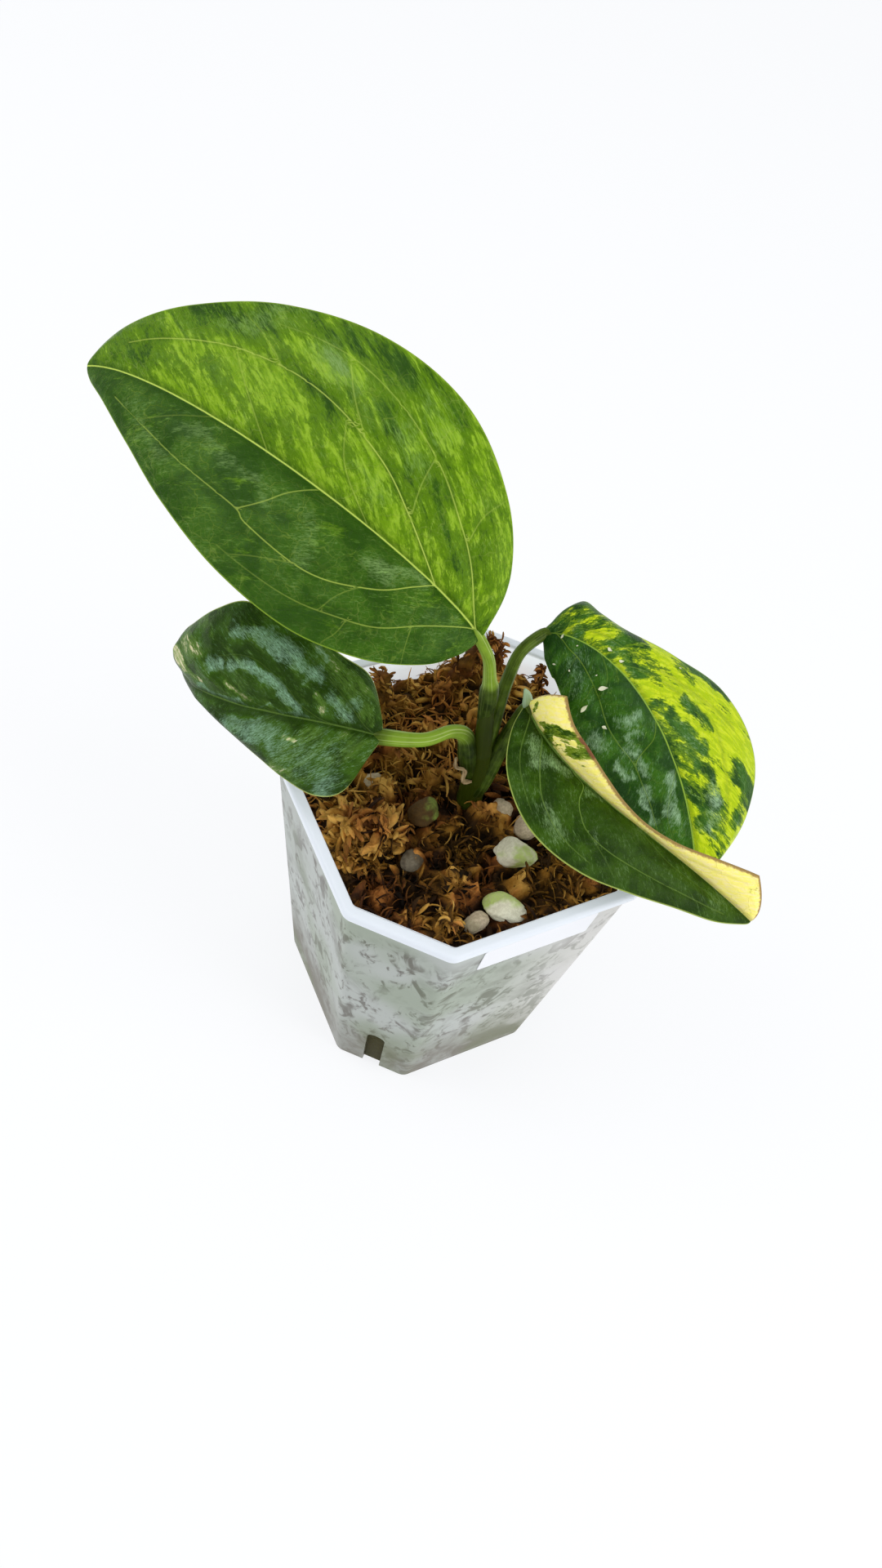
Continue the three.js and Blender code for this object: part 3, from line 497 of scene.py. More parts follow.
def loft(rings):
    """A closed body through rings of equally many points, with a fan over each end."""
    rings = np.asarray(rings, float)
    rows, columns = rings.shape[:2]
    points = np.concatenate([rings.reshape(-1, 3), rings[0].mean(0)[None], rings[-1].mean(0)[None]])
    first = np.arange(columns)
    last = first + (rows - 1) * columns
    faces = [grid_faces(rows, columns, closed=True).tolist()]
    faces.append(fan(first, rows * columns, flip=True).tolist())
    faces.append(fan(last, rows * columns + 1).tolist())
    return points, sum(faces, [])


def joined(bodies):
    """The points and faces of several bodies, each a pair of its own, as one."""
    points, faces, start = [], [], 0
    for its_points, its_faces in bodies:
        points.append(its_points)
        faces += [[i + start for i in face] for face in its_faces]
        start += len(its_points)
    return np.concatenate(points), faces


def in_scene(name, data):
    """An object of the data in the scene."""
    made = bpy.data.objects.new(name, data)
    bpy.context.scene.collection.objects.link(made)
    return made


def make(name, points, faces, material, node=None, slot=None, values=None, maps=None, smooth=True):
    """A new piece from points in millimetres, riding on the plant's one body."""
    mesh = bpy.data.meshes.new(name)
    faces = faces if isinstance(faces, list) else faces.tolist()
    mesh.from_pydata((np.asarray(points) * MM).tolist(), [], faces)
    for key, value in (values or {}).items():
        layer = mesh.attributes.new(key, "FLOAT", "POINT")
        layer.data.foreach_set("value", np.asarray(value, np.float32).ravel())
    corners = np.zeros(len(mesh.loops), np.int32)
    mesh.loops.foreach_get("vertex_index", corners)
    for key, value in (maps or {}).items():
        layer = mesh.uv_layers.new(name=key)
        layer.data.foreach_set("uv", np.asarray(value, np.float32).reshape(-1, 2)[corners].ravel())
    mesh.polygons.foreach_set("use_smooth", np.full(len(mesh.polygons), smooth))
    mesh.update()
    piece = in_scene(name, mesh)
    mesh.materials.append(material)
    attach(piece, "root")
    if node:
        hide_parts(node)
    return piece


# Stalks
def centre_line(points, girth, spacing):
    """Places and radii at even steps along a smooth curve through the points."""
    share = np.linspace(0, 1, 1200)
    path = through(points, share)
    along = np.concatenate([[0], np.cumsum(np.linalg.norm(np.diff(path, axis=0), axis=1))])
    steps = np.linspace(0, along[-1], max(4, int(along[-1] / spacing)))
    share = np.interp(steps, along, share)
    return through(points, share), through(girth, share), steps


def cross_frames(path, hint):
    """Two directions square to the path at each place, carried along it without twisting."""
    ahead = unit(np.gradient(path, axis=0))
    side = np.zeros_like(path)
    side[0] = unit(np.cross(hint, ahead[0]))
    for i in range(1, len(path)):
        side[i] = unit(side[i - 1] - ahead[i] * (side[i - 1] @ ahead[i]))
    return side, np.cross(ahead, side)


def stalk(points, girth, sides=20, spacing=0.8, hint=(0, 0, 1), shape=None):
    """Rings about a curve. shape(along, turn) scales the radius at a place along and round it."""
    path, radius, along = centre_line(points, girth, spacing)
    side, up = cross_frames(path, np.array(hint, float))
    turn = np.linspace(0, 2 * np.pi, sides, endpoint=False)
    scale = np.ones((len(path), sides)) if shape is None else shape(along[:, None], turn[None])
    reach = radius[:, None, None] * scale[..., None]
    across, out = np.cos(turn)[:, None] * side[:, None], np.sin(turn)[:, None] * up[:, None]
    rings = path[:, None] + reach * (across + out)
    place = np.stack(np.broadcast_arrays(along[:, None], turn[None] / (2 * np.pi)), -1)
    ends = np.array([[0, 0.5], [along[-1], 0.5]])
    return rings, np.concatenate([place.reshape(-1, 2), ends])


# Leaf blades
def midrib_frame(leaf, s):
    """The midrib's place, and the directions of its upper face and its right, at shares s."""
    p = np.array(leaf["midrib"], float)
    s = s[..., None]
    place = (1 - s) ** 3 * p[0] + 3 * (1 - s) ** 2 * s * p[1] + 3 * (1 - s) * s**2 * p[2] + s**3 * p[3]
    along = 3 * (1 - s) ** 2 * (p[1] - p[0]) + 6 * (1 - s) * s * (p[2] - p[1]) + 3 * s**2 * (p[3] - p[2])
    along = unit(along)
    face = np.array(leaf["face"], float)
    up = face[0] + (face[1] - face[0]) * s
    up = unit(up - along * (up * along).sum(-1, keepdims=True))
    return place, up, np.cross(along, up)


def half_width(leaf, side, s):
    """Each half's width at shares s, with the left one cut back to its trim."""
    turn = np.arccos(np.clip(1 - 2 * s, -1, 1)) / np.pi
    right, left = through(leaf["right"], turn), through(leaf["left"], turn)
    if "trim" in leaf:
        left = np.minimum(left, through(leaf["trim"], s))
    return np.maximum(np.where(side > 0, right, left), BLADE["least"])


def half_angle(leaf, key, side, s):
    """Each half's rise or bend at shares s, in radians."""
    right, left = leaf[key]
    return np.radians(np.where(side > 0, through(right, s), through(left, s)))


def blade_places(leaf, side, s, t):
    """Each half is an arc that leaves the midrib at its rise and turns down by its bend. The
    margin waves up and down as a sine along the blade that grows with the square of t."""
    place, up, right = midrib_frame(leaf, s)
    width = half_width(leaf, side, s)
    rise = half_angle(leaf, "rise", side, s)
    bend = half_angle(leaf, "bend", side, s)
    out = width * (np.sin(rise) - np.sin(rise - bend * t)) / bend
    high = width * (np.cos(rise - bend * t) - np.cos(rise)) / bend
    height, count = leaf["wave"]
    high = high + height * t**2 * np.sin(2 * np.pi * count * s + side) * np.minimum(1, width / BLADE["fade"])
    return place + (side * out)[..., None] * right + high[..., None] * up, width


def flat_places(leaf, side, s, t, length):
    """Where a point of the blade would lie, in mm, if the blade were pressed flat."""
    return np.stack([s * length, side * t * half_width(leaf, side, s)], -1)


def vein_distance(leaf, flat, length):
    """Distance in mm of each place of the pressed blade from the nearest side vein, the same
    measured square to that vein, with a sign for its side, and how strong the vein is there.
    Beyond a vein's ends both distances are the same."""
    nearest = np.full(flat.shape[:-1], 99.0)
    across = np.full(flat.shape[:-1], 99.0)
    strength = np.zeros(flat.shape[:-1])
    for side, veins in ((1, leaf["veins_right"]), (-1, leaf["veins_left"])):
        for first, last, vein in veins:
            share = np.linspace(0, 1, 240)
            s, t = through(np.array(vein) / 100, share).T
            line = flat_places(leaf, np.full(len(s), side), s, t, length)
            heading = unit(np.gradient(line, axis=0))
            for start in range(0, len(line), 20):
                part, ahead = line[start : start + 20], heading[start : start + 20]
                gap = flat[..., None, :] - part
                far = np.linalg.norm(gap, axis=-1)
                square = ahead[:, 0] * gap[..., 1] - ahead[:, 1] * gap[..., 0]
                pick = far.argmin(-1)[..., None]
                far = np.take_along_axis(far, pick, -1)[..., 0]
                square = np.take_along_axis(square, pick, -1)[..., 0]
                beyond = far**2 - square**2 > 0.04
                square = np.where(beyond, np.copysign(far, square), square)
                closer = far < nearest
                across = np.where(closer, square, across)
                strength = np.where(closer, first + (last - first) * share[start + 10], strength)
                nearest = np.minimum(nearest, far)
    return nearest, across, strength


def painted(leaf, strokes, base, side, flat, length, ragged, spread):
    """Soft-edged strokes painted in order over a base value, each on its own half of the blade.
    Noise shifts every place by up to about half of ragged mm, so the strokes come out uneven.
    Spread widens their soft edges."""
    value = base.astype(float)
    x, y = flat[..., 0] / 3, flat[..., 1] / 3
    moved = flat + ragged * np.stack([fractal(x, y, 7, 3), fractal(x + 9, y + 5, 8, 3)], -1)
    for half, s0, t0, s1, t1, radius, target in strokes:
        s, t = np.array([s0, s1]) / 100, np.array([t0, t1]) / 100
        a, b = flat_places(leaf, np.array([half, half]), s, t, length)
        run = b - a
        k = np.clip(((moved - a) @ run) / max(run @ run, 1e-6), 0, 1)
        gap = np.linalg.norm(moved - a - k[..., None] * run, axis=-1)
        amount = np.clip((1.4 + spread - gap / radius) / (1 + 2 * spread), 0, 1) * (side == half)
        value = value + (target - value) * amount * amount * (3 - 2 * amount)
    return value


def sheet_faces(rows, columns):
    """Faces of a closed sheet: its upper face, the lower face under it and the margin between."""
    count = rows * columns
    up_faces = grid_faces(rows, columns)[:, ::-1]
    down_faces = up_faces[:, ::-1] + count
    edge = np.concatenate([
        np.arange(columns),
        np.arange(1, rows) * columns + columns - 1,
        np.arange(columns - 2, -1, -1) + (rows - 1) * columns,
        np.arange(rows - 2, 0, -1) * columns,
    ])
    after = np.roll(edge, -1)
    rim = np.stack([edge, after, after + count, edge + count], -1)
    return np.concatenate([up_faces, down_faces, rim])


def relief(leaf, s, t, width, flat, vein, strength, seed):
    """How far the blade is lifted. It bulges between the side veins, each of which lies low in a
    fine groove, and all that fades to the margin. The midrib is a channel that ends at the tip."""
    rib = np.abs(flat[..., 1])
    fade = np.minimum(1, width / BLADE["fade"]) * np.minimum(1, (1 - t) * 3.5)
    sunk = np.clip(strength * 1.6, 0.25, 1) * bell(vein, BLADE["vein_reach"])
    swell = leaf["quilt"] * (1 - sunk) * (1 - bell(rib, BLADE["rib_reach"]))
    swell = swell + 0.35 * leaf["quilt"] * fractal(flat[..., 0] / 5, flat[..., 1] / 5, seed, 3)
    groove = BLADE["groove"][0] * bell(vein, BLADE["groove"][1])
    channel = BLADE["channel"][0] * bell(rib, BLADE["channel"][1]) * np.clip(1.1 - s, 0, 1)
    return (swell - groove) * fade - channel


def blade(leaf, seed):
    """The blade as a closed sheet, with what its skin needs at each place."""
    rows, columns = BLADE["rows"], 2 * BLADE["columns"] + 1
    even = np.linspace(0.002, 0.998, rows)
    s = 0.5 * even + 0.25 * (1 - np.cos(np.pi * even))
    s, across = np.meshgrid(s, np.linspace(-1, 1, columns), indexing="ij")
    side = np.where(across < 0, -1, 1)
    t = np.abs(across)
    places, width = blade_places(leaf, side, s, t)
    spine, _, _ = midrib_frame(leaf, np.linspace(0, 1, 200))
    length = np.linalg.norm(np.diff(spine, axis=0), axis=1).sum()
    flat = flat_places(leaf, side, s, t, length)
    vein, across_vein, strength = vein_distance(leaf, flat, length)
    rib = np.abs(flat[..., 1])
    normal = unit(np.cross(np.gradient(places, axis=0), np.gradient(places, axis=1)))
    normal = normal * np.sign((normal * midrib_frame(leaf, s)[1]).sum(-1, keepdims=True))
    lift = relief(leaf, s, t, width, flat, vein, strength, seed)
    half = 0.5 * (BLADE["thick"] + (BLADE["thin"] - BLADE["thick"]) * t**3)
    top = places + normal * (lift + half)[..., None]
    under = places + normal * (lift - half)[..., None]
    points = np.concatenate([top.reshape(-1, 3), under.reshape(-1, 3)])
    double = lambda a: np.concatenate([a.reshape(-1), a.reshape(-1)])
    grain = flat[..., 0] - 0.9 * rib - 0.012 * rib**2
    own = np.where(side > 0, *leaf["share"])
    inward = (1 - t) * width
    values = {
        "light": double(painted(leaf, leaf["patches"], own, side, flat, length, 1.2, 0.0)),
        # haze holds painted highlights above zero and painted shade below it.
        "haze": double(painted(leaf, leaf["haze"], np.zeros(s.shape), side, flat, length, 2.6, 0.6)),
        "vein": double(np.minimum(vein, 4)),
        "across": double(np.clip(across_vein, -4, 4)),
        "strength": double(strength),
        "rib": double(np.minimum(rib, 6)),
        "margin": double(inward),
        "cut": double(np.where((side < 0) & ("trim" in leaf), inward, 9.0)),
        "under": np.repeat([0.0, 1.0], rows * columns),
    }
    maps = {
        "flat": np.concatenate([flat.reshape(-1, 2)] * 2),
        "grain": np.concatenate([np.stack([grain, flat[..., 1]], -1).reshape(-1, 2)] * 2),
    }
    return points, sheet_faces(rows, columns), values, maps, (s, across, top, normal)


def petiole(leaf):
    """The leaf's stalk, which runs on under the blade as its midrib. A shallow channel runs along
    its upper side. Below the collar it is wrapped in its sheath."""
    points, girth = list(leaf["petiole"]), list(leaf["girth"])
    stations = np.array(MIDRIB["stations"])
    place, up, _ = midrib_frame(leaf, stations)
    radius = MIDRIB["base"] + (MIDRIB["tip"] - MIDRIB["base"]) * stations
    points[-1] = tuple(midrib_frame(leaf, np.zeros(1))[0][0] - up[0] * 0.55 * girth[-1])
    points += [tuple(p) for p in place - up * (radius + MIDRIB["sunk"])[:, None]]
    girth += radius.tolist()
    top, extra = leaf.get("collar", (0.0, 0.0))

    def shape(along, turn):
        channel = 1 - 0.14 * bell(turn - np.pi / 2, 0.45) + 0.015 * np.sin(9 * turn)
        return channel + extra * falling(along - top - 0.5 * np.sin(turn), 5)

    rings, run = stalk(points, girth, sides=28, spacing=0.6, hint=(0.6, -0.8, 0), shape=shape)
    along = run[:, 0]
    near_foot = np.maximum(falling(along - leaf.get("dark_foot", 7.0), 0.9), 0.92 * falling(along - top, 3))
    reach = np.linalg.norm(np.diff(np.array(leaf["petiole"]), axis=0), axis=1).sum()
    # Painted shade where the stalk runs in under the blade.
    near_end = leaf.get("dark_end", 0.0) * falling(reach - 1.5 - along, 1.2)
    return rings, run, np.maximum(leaf["shade"] + (1 - leaf["shade"]) * near_foot, near_end)


# Shader parts
def group(name, inputs, outputs):
    """An empty node group, from the types and names of its sockets."""
    tree = bpy.data.node_groups.new(name, "ShaderNodeTree")
    for direction, sockets in (("INPUT", inputs), ("OUTPUT", outputs)):
        for kind, labels in sockets.items():
            for label in labels.split():
                tree.interface.new_socket(name=label, in_out=direction, socket_type="NodeSocket" + kind)
    return tree, tree.nodes.new("NodeGroupInput").outputs, tree.nodes.new("NodeGroupOutput").inputs


def feed(tree, value, socket):
    """Links the value to the socket, or sets the socket to it where it is plain."""
    if isinstance(value, bpy.types.NodeSocket):
        tree.links.new(value, socket)
    else:
        socket.default_value = value


def node(tree, kind, **settings):
    """A node of the kind. Settings that begin with in_ feed its inputs, and others are properties."""
    made = tree.nodes.new("ShaderNode" + kind)
    for key, value in settings.items():
        if key.startswith("in_"):
            name = key[3:]
            feed(tree, value, made.inputs[int(name) if name.isdigit() else name.replace("_", " ")])
        else:
            setattr(made, key, value)
    return made


def placed(tree, shared, tones, **numbers):
    """A shared group placed in a material with its own tones and numbers."""
    made = node(tree, "Group", node_tree=shared)
    for key, tone in tones.items():
        made.inputs[key].default_value = colour(*tone)
    for key, number in numbers.items():
        made.inputs[key].default_value = number
    return made.outputs


def math(tree, operation, a, b=0.5):
    return node(tree, "Math", operation=operation, in_0=a, in_1=b).outputs[0]


def times(tree, a, b):
    return math(tree, "MULTIPLY", a, b)


def plus(tree, a, b):
    return math(tree, "ADD", a, b)


def minus(tree, a, b):
    return math(tree, "SUBTRACT", a, b)


def larger(tree, a, b):
    return math(tree, "MAXIMUM", a, b)


def swing(tree, value, amount):
    """The value's distance from one half, times the amount."""
    return times(tree, minus(tree, value, 0.5), amount)


def remap(tree, value, low, high, to_low=0.0, to_high=1.0, smooth=True):
    """Takes the range from low to high to the range from to_low to to_high."""
    made = node(tree, "MapRange", interpolation_type="SMOOTHSTEP" if smooth else "LINEAR", in_Value=value)
    for key, number in (("From Min", low), ("From Max", high), ("To Min", to_low), ("To Max", to_high)):
        feed(tree, number, made.inputs[key])
    return made.outputs[0]


def mix(tree, share, a, b):
    return node(tree, "Mix", data_type="RGBA", in_0=share, in_6=a, in_7=b).outputs[2]


def attribute(tree, name):
    return node(tree, "Attribute", attribute_name=name).outputs["Fac"]


def uv(tree, name):
    return node(tree, "UVMap", uv_map=name).outputs[0]


def object_place(tree):
    return node(tree, "TexCoord").outputs["Object"]


def scaled(tree, vector, x, y, z=1.0):
    return node(tree, "Mapping", vector_type="POINT", in_Vector=vector, in_Scale=(x, y, z)).outputs[0]


def speckle(tree, vector, scale, detail=4.0, rough=0.55, distortion=0.0):
    """Cloudy noise. The scale is one number, or one for each direction."""
    if isinstance(scale, tuple):
        vector, scale = scaled(tree, vector, *scale), 1.0
    made = node(tree, "TexNoise", in_Vector=vector, in_Scale=scale, in_Detail=detail, in_Roughness=rough)
    made.inputs["Distortion"].default_value = distortion
    return made.outputs["Fac"]


def cell_edges(tree, vector):
    """Distance from the edges between scattered cells."""
    made = node(tree, "TexVoronoi", feature="DISTANCE_TO_EDGE", in_Vector=vector, in_Scale=1.0)
    return made.outputs["Distance"]


def ramp(tree, value, stops):
    """A row of tones along a value: each stop is its place and its tone."""
    made = tree.nodes.new("ShaderNodeValToRGB")
    feed(tree, value, made.inputs[0])
    elements = made.color_ramp.elements
    while len(elements) < len(stops):
        elements.new(0.5)
    for element, (at, tone) in zip(elements, stops):
        element.position = at
        element.color = colour(*tone)
    return made.outputs[0]


def colour(r, g, b):
    """A colour given as it looks on a screen, from 0 to 255, as the light it stands for."""
    c = np.array([r, g, b]) / 255
    c = np.where(c <= 0.04045, c / 12.92, ((c + 0.055) / 1.055) ** 2.4)
    return (*c.tolist(), 1.0)


def material(name):
    """A material with one shader, and the tree that its nodes go into."""
    made = bpy.data.materials.new(name)
    made.use_nodes = True
    tree = made.node_tree
    tree.nodes.clear()
    shader = tree.nodes.new("ShaderNodeBsdfPrincipled")
    out = tree.nodes.new("ShaderNodeOutputMaterial")
    tree.links.new(shader.outputs[0], out.inputs[0])
    return made, tree, shader


def dress(tree, shader, **sockets):
    """Feeds the shader's sockets, named with _ for a blank."""
    for key, value in sockets.items():
        feed(tree, value, shader.inputs[key.replace("_", " ")])


def deepen(shader, weight, radius, scale):
    """Light that goes in and comes out again close by: its share, and how far each colour goes."""
    shader.inputs["Subsurface Weight"].default_value = weight
    shader.inputs["Subsurface Radius"].default_value = radius
    shader.inputs["Subsurface Scale"].default_value = scale


def bump(tree, height, distance, strength):
    return node(tree, "Bump", in_Height=height, in_Strength=strength, in_Distance=distance).outputs[0]


# Leaf skin
def mottled(tree, given, grain, flecks, grains, clouds):
    """The share of light colour, broken up by blotches, flecks and grains, takes the skin from green
    through a middle tone to the light colour. Gives the skin, and how light it is."""
    blotches = speckle(tree, grain, (0.24, 0.15), 5, 0.62, 0.6)
    broken = plus(tree, times(tree, blotches, 0.55), times(tree, flecks, 0.25))
    broken = plus(tree, broken, times(tree, grains, 0.2))
    share = plus(tree, attribute(tree, "light"), swing(tree, broken, given["Mottle"]))
    low = minus(tree, 0.45, times(tree, given["Sharp"], 3.0))
    high = plus(tree, 0.52, times(tree, given["Sharp"], 2.0))
    green = mix(tree, remap(tree, clouds, 0.4, 0.6), given["Dark"], given["Green"])
    green = mix(tree, remap(tree, flecks, 0.5, 0.7, 0.0, 0.6), green, given["Green"])
    green = mix(tree, remap(tree, grains, 0.5, 0.3, 0.0, 0.5), green, given["Dark"])
    pale = mix(tree, remap(tree, flecks, 0.42, 0.62), given["Light"], given["Pale"])
    skin = mix(tree, remap(tree, share, low, 0.47), green, given["Middle"])
    light = remap(tree, share, 0.5, high)
    return mix(tree, light, skin, pale), light


def vein_net(tree, flat):
    """A wide net of fine veins, bent by slow swirls, and a smaller and fainter one in it."""
    warp = node(tree, "TexNoise", in_Vector=flat, in_Scale=0.25).outputs["Color"]
    swirl = node(tree, "VectorMath", operation="SCALE", in_0=warp, in_Scale=0.9).outputs[0]
    wide = scaled(tree, flat, 0.16, 0.2)
    bent = node(tree, "VectorMath", operation="ADD", in_0=wide, in_1=swirl).outputs[0]
    net = remap(tree, cell_edges(tree, bent), 0.0, 0.025, 1.0, 0.0)
    small = remap(tree, cell_edges(tree, scaled(tree, flat, 0.8, 0.8)), 0.0, 0.09, 0.4, 0.0)
    return larger(tree, net, small)


def sheened(tree, given, skin, light, texture, grains, clouds):
    """A grainy painted highlight where the haze is above zero, and painted shade, a deeper green,
    where it is below.
    """
    haze = attribute(tree, "haze")
    soft = times(tree, remap(tree, clouds, 0.5, 0.66), 0.18)
    sheen = plus(tree, larger(tree, haze, soft), swing(tree, texture, 3.0))
    sheen = remap(tree, sheen, 0.15, 1.3, smooth=False)
    sheen = times(tree, sheen, remap(tree, grains, 0.36, 0.6, 0.5, 1.1))
    sheen = times(tree, sheen, minus(tree, 1.0, times(tree, light, 0.6)))
    skin = mix(tree, times(tree, sheen, given["Dust"]), skin, given["Sheen"])
    return mix(tree, remap(tree, haze, 0.0, -1.0, 0.0, 0.85, smooth=False), skin, given["Dark"])


def veined(tree, given, skin):
    """Pale threads along the side veins and a pale midrib, in hollows darkened with painted shade.
    Gives the threads too.
    """
    rib, away, strength = (attribute(tree, name) for name in ("rib", "vein", "strength"))
    gap = math(tree, "ABSOLUTE", attribute(tree, "across"))
    thread = times(tree, remap(tree, gap, 0.04, 0.2, 1.0, 0.0), remap(tree, away, 0.62, 0.36))
    thread = times(tree, thread, strength)
    hollow_shade = times(tree, remap(tree, gap, 0.15, 1.0, 1.0, 0.0), remap(tree, away, 1.0, 0.6))
    shade_beside = larger(tree, times(tree, hollow_shade, strength), remap(tree, rib, 0.3, 1.6, 1.0, 0.0))
    skin = mix(tree, times(tree, shade_beside, given["Hollow"]), skin, given["Dark"])
    middle = remap(tree, rib, 0.05, 0.24, given["Rib"], 0.0)
    drawn = larger(tree, times(tree, thread, given["Main"]), middle)
    return mix(tree, drawn, skin, given["Vein"]), thread


def leaf_skin_group():
    """Colour and height of a variegated leaf: its mottled greens, the net of fine veins, a painted
    sheen and painted shade, the side veins with painted shade beside them, the pale margin and the
    lighter underside."""
    inputs = {
        "Color": "Dark Green Middle Light Pale Vein Edge Sheen",
        "Float": "Mottle Sharp Net Main Rib Hollow Dust",
        "Vector": "Fine",
    }
    tree, given, end = group("leaf_skin", inputs, {"Color": "Color Glow", "Float": "Roughness Height"})
    flat = uv(tree, "flat")
    grain = uv(tree, "grain")
    grain = node(tree, "VectorMath", operation="MULTIPLY", in_0=grain, in_1=given["Fine"]).outputs[0]
    flecks = speckle(tree, grain, (0.9, 0.55), 4, 0.7, 0.5)
    grains = speckle(tree, grain, (3.2, 1.8), 3, 0.7, 0.3)
    clouds = speckle(tree, flat, (0.13, 0.13), 4, 0.6, 0.4)
    texture = plus(tree, times(tree, flecks, 0.5), times(tree, grains, 0.5))
    skin, light = mottled(tree, given, grain, flecks, grains, clouds)
    net = vein_net(tree, flat)
    lines = times(tree, times(tree, net, given["Net"]), remap(tree, clouds, 0.35, 0.6))
    skin = mix(tree, lines, skin, given["Vein"])
    skin = sheened(tree, given, skin, light, texture, grains, clouds)
    skin, thread = veined(tree, given, skin)
    margin = remap(tree, attribute(tree, "margin"), 0.08, 0.36, 0.8, 0.0)
    skin = mix(tree, margin, skin, given["Edge"])
    under = attribute(tree, "under")
    skin = mix(tree, times(tree, under, 0.45), skin, colour(*UNDERSIDE))
    feed(tree, skin, end["Color"])
    feed(tree, mix(tree, light, BLACK, skin), end["Glow"])
    rough = plus(tree, remap(tree, grains, 0.3, 0.7, 0.24, 0.4), times(tree, under, 0.25))
    feed(tree, rough, end["Roughness"])
    drawn = larger(tree, times(tree, net, 0.5), thread)
    feed(tree, minus(tree, times(tree, texture, 0.9), drawn), end["Height"])
    return tree


def leaf_material(leaf, shared):
    """The leaf's skin, with a ragged dried edge where a half was cut."""
    made, tree, shader = material(leaf["slot"])
    skin = placed(tree, shared, leaf["tones"], **leaf["numbers"])
    surface = skin["Color"]
    if "cut_edge" in leaf:
        ragged = speckle(tree, uv(tree, "flat"), 1.3, 4)
        depth = plus(tree, attribute(tree, "cut"), swing(tree, ragged, 1.2))
        surface = mix(tree, remap(tree, depth, 0.25, 0.8, 1.0, 0.0), surface, colour(*leaf["cut_edge"]))
    normal = bump(tree, skin["Height"], 0.0003, 0.6)
    dress(tree, shader, Base_Color=surface, Roughness=skin["Roughness"], Normal=normal)
    dress(tree, shader, Emission_Color=skin["Glow"], Emission_Strength=leaf["glow"], Specular_IOR_Level=0.09)
    deepen(shader, 0.08, (0.0012, 0.002, 0.0005), 0.5)
    return made


# Other materials
def stalk_skin_group():
    """Pale stripes run along the stalk and fade in and out. It goes from the light green to the
    dark one by its shade."""
    inputs = {"Color": "Light Dark Stripe"}
    tree, given, end = group("stalk_skin", inputs, {"Color": "Color", "Float": "Height"})
    run, shade = uv(tree, "flat"), attribute(tree, "shade")
    stripes = speckle(tree, run, (0.03, 26), 3, 0.5)
    clouds = speckle(tree, run, (0.3, 3), 4)
    value = plus(tree, shade, remap(tree, clouds, 0.3, 0.7, -0.15, 0.15))
    base = mix(tree, remap(tree, value, 0.0, 1.0, smooth=False), given["Light"], given["Dark"])
    amount = times(tree, remap(tree, stripes, 0.5, 0.66), remap(tree, shade, 0.0, 1.0, 0.75, 0.08))
    feed(tree, mix(tree, amount, base, given["Stripe"]), end["Color"])
    feed(tree, stripes, end["Height"])
    return tree


def stalk_material(name, shared):
    made, tree, shader = material(name)
    skin = placed(tree, shared, STALK_TONES[name])
    normal = bump(tree, skin["Height"], 0.0001, 0.4)
    dress(tree, shader, Base_Color=skin["Color"], Roughness=0.42, Specular_IOR_Level=0.1, Normal=normal)
    deepen(shader, 0.1, (0.001, 0.002, 0.0005), 0.6)
    return made


def moss_material():
    """Darkened with painted shade in the creases, and brighter towards the tips, partly with painted
    highlights. Some parts are rusty and others golden.
    """
    made, tree, shader = material("moss_brown")
    place = object_place(tree)
    stain = speckle(tree, place, 130, 4, 0.6)
    grit = speckle(tree, place, 700, 4, 0.65)
    value = plus(tree, attribute(tree, "tone"), swing(tree, stain, 0.7))
    value = plus(tree, value, swing(tree, grit, 0.45))
    where = remap(tree, speckle(tree, place, 75, 3, 0.5), 0.42, 0.58)
    skin = mix(tree, where, ramp(tree, value, RUSTY), ramp(tree, value, GOLDEN))
    height = node(tree, "SeparateXYZ", in_Vector=place).outputs["Z"]
    skin = mix(tree, remap(tree, height, 0.06, 0.035, 0.0, 0.8), skin, colour(*MOSS_FOOT))
    dress(tree, shader, Base_Color=skin, Roughness=0.75, Specular_IOR_Level=0.15)
    dress(tree, shader, Normal=bump(tree, grit, 0.0006, 0.8))
    deepen(shader, 0.1, (0.0015, 0.0008, 0.0003), 1.0)
    return made


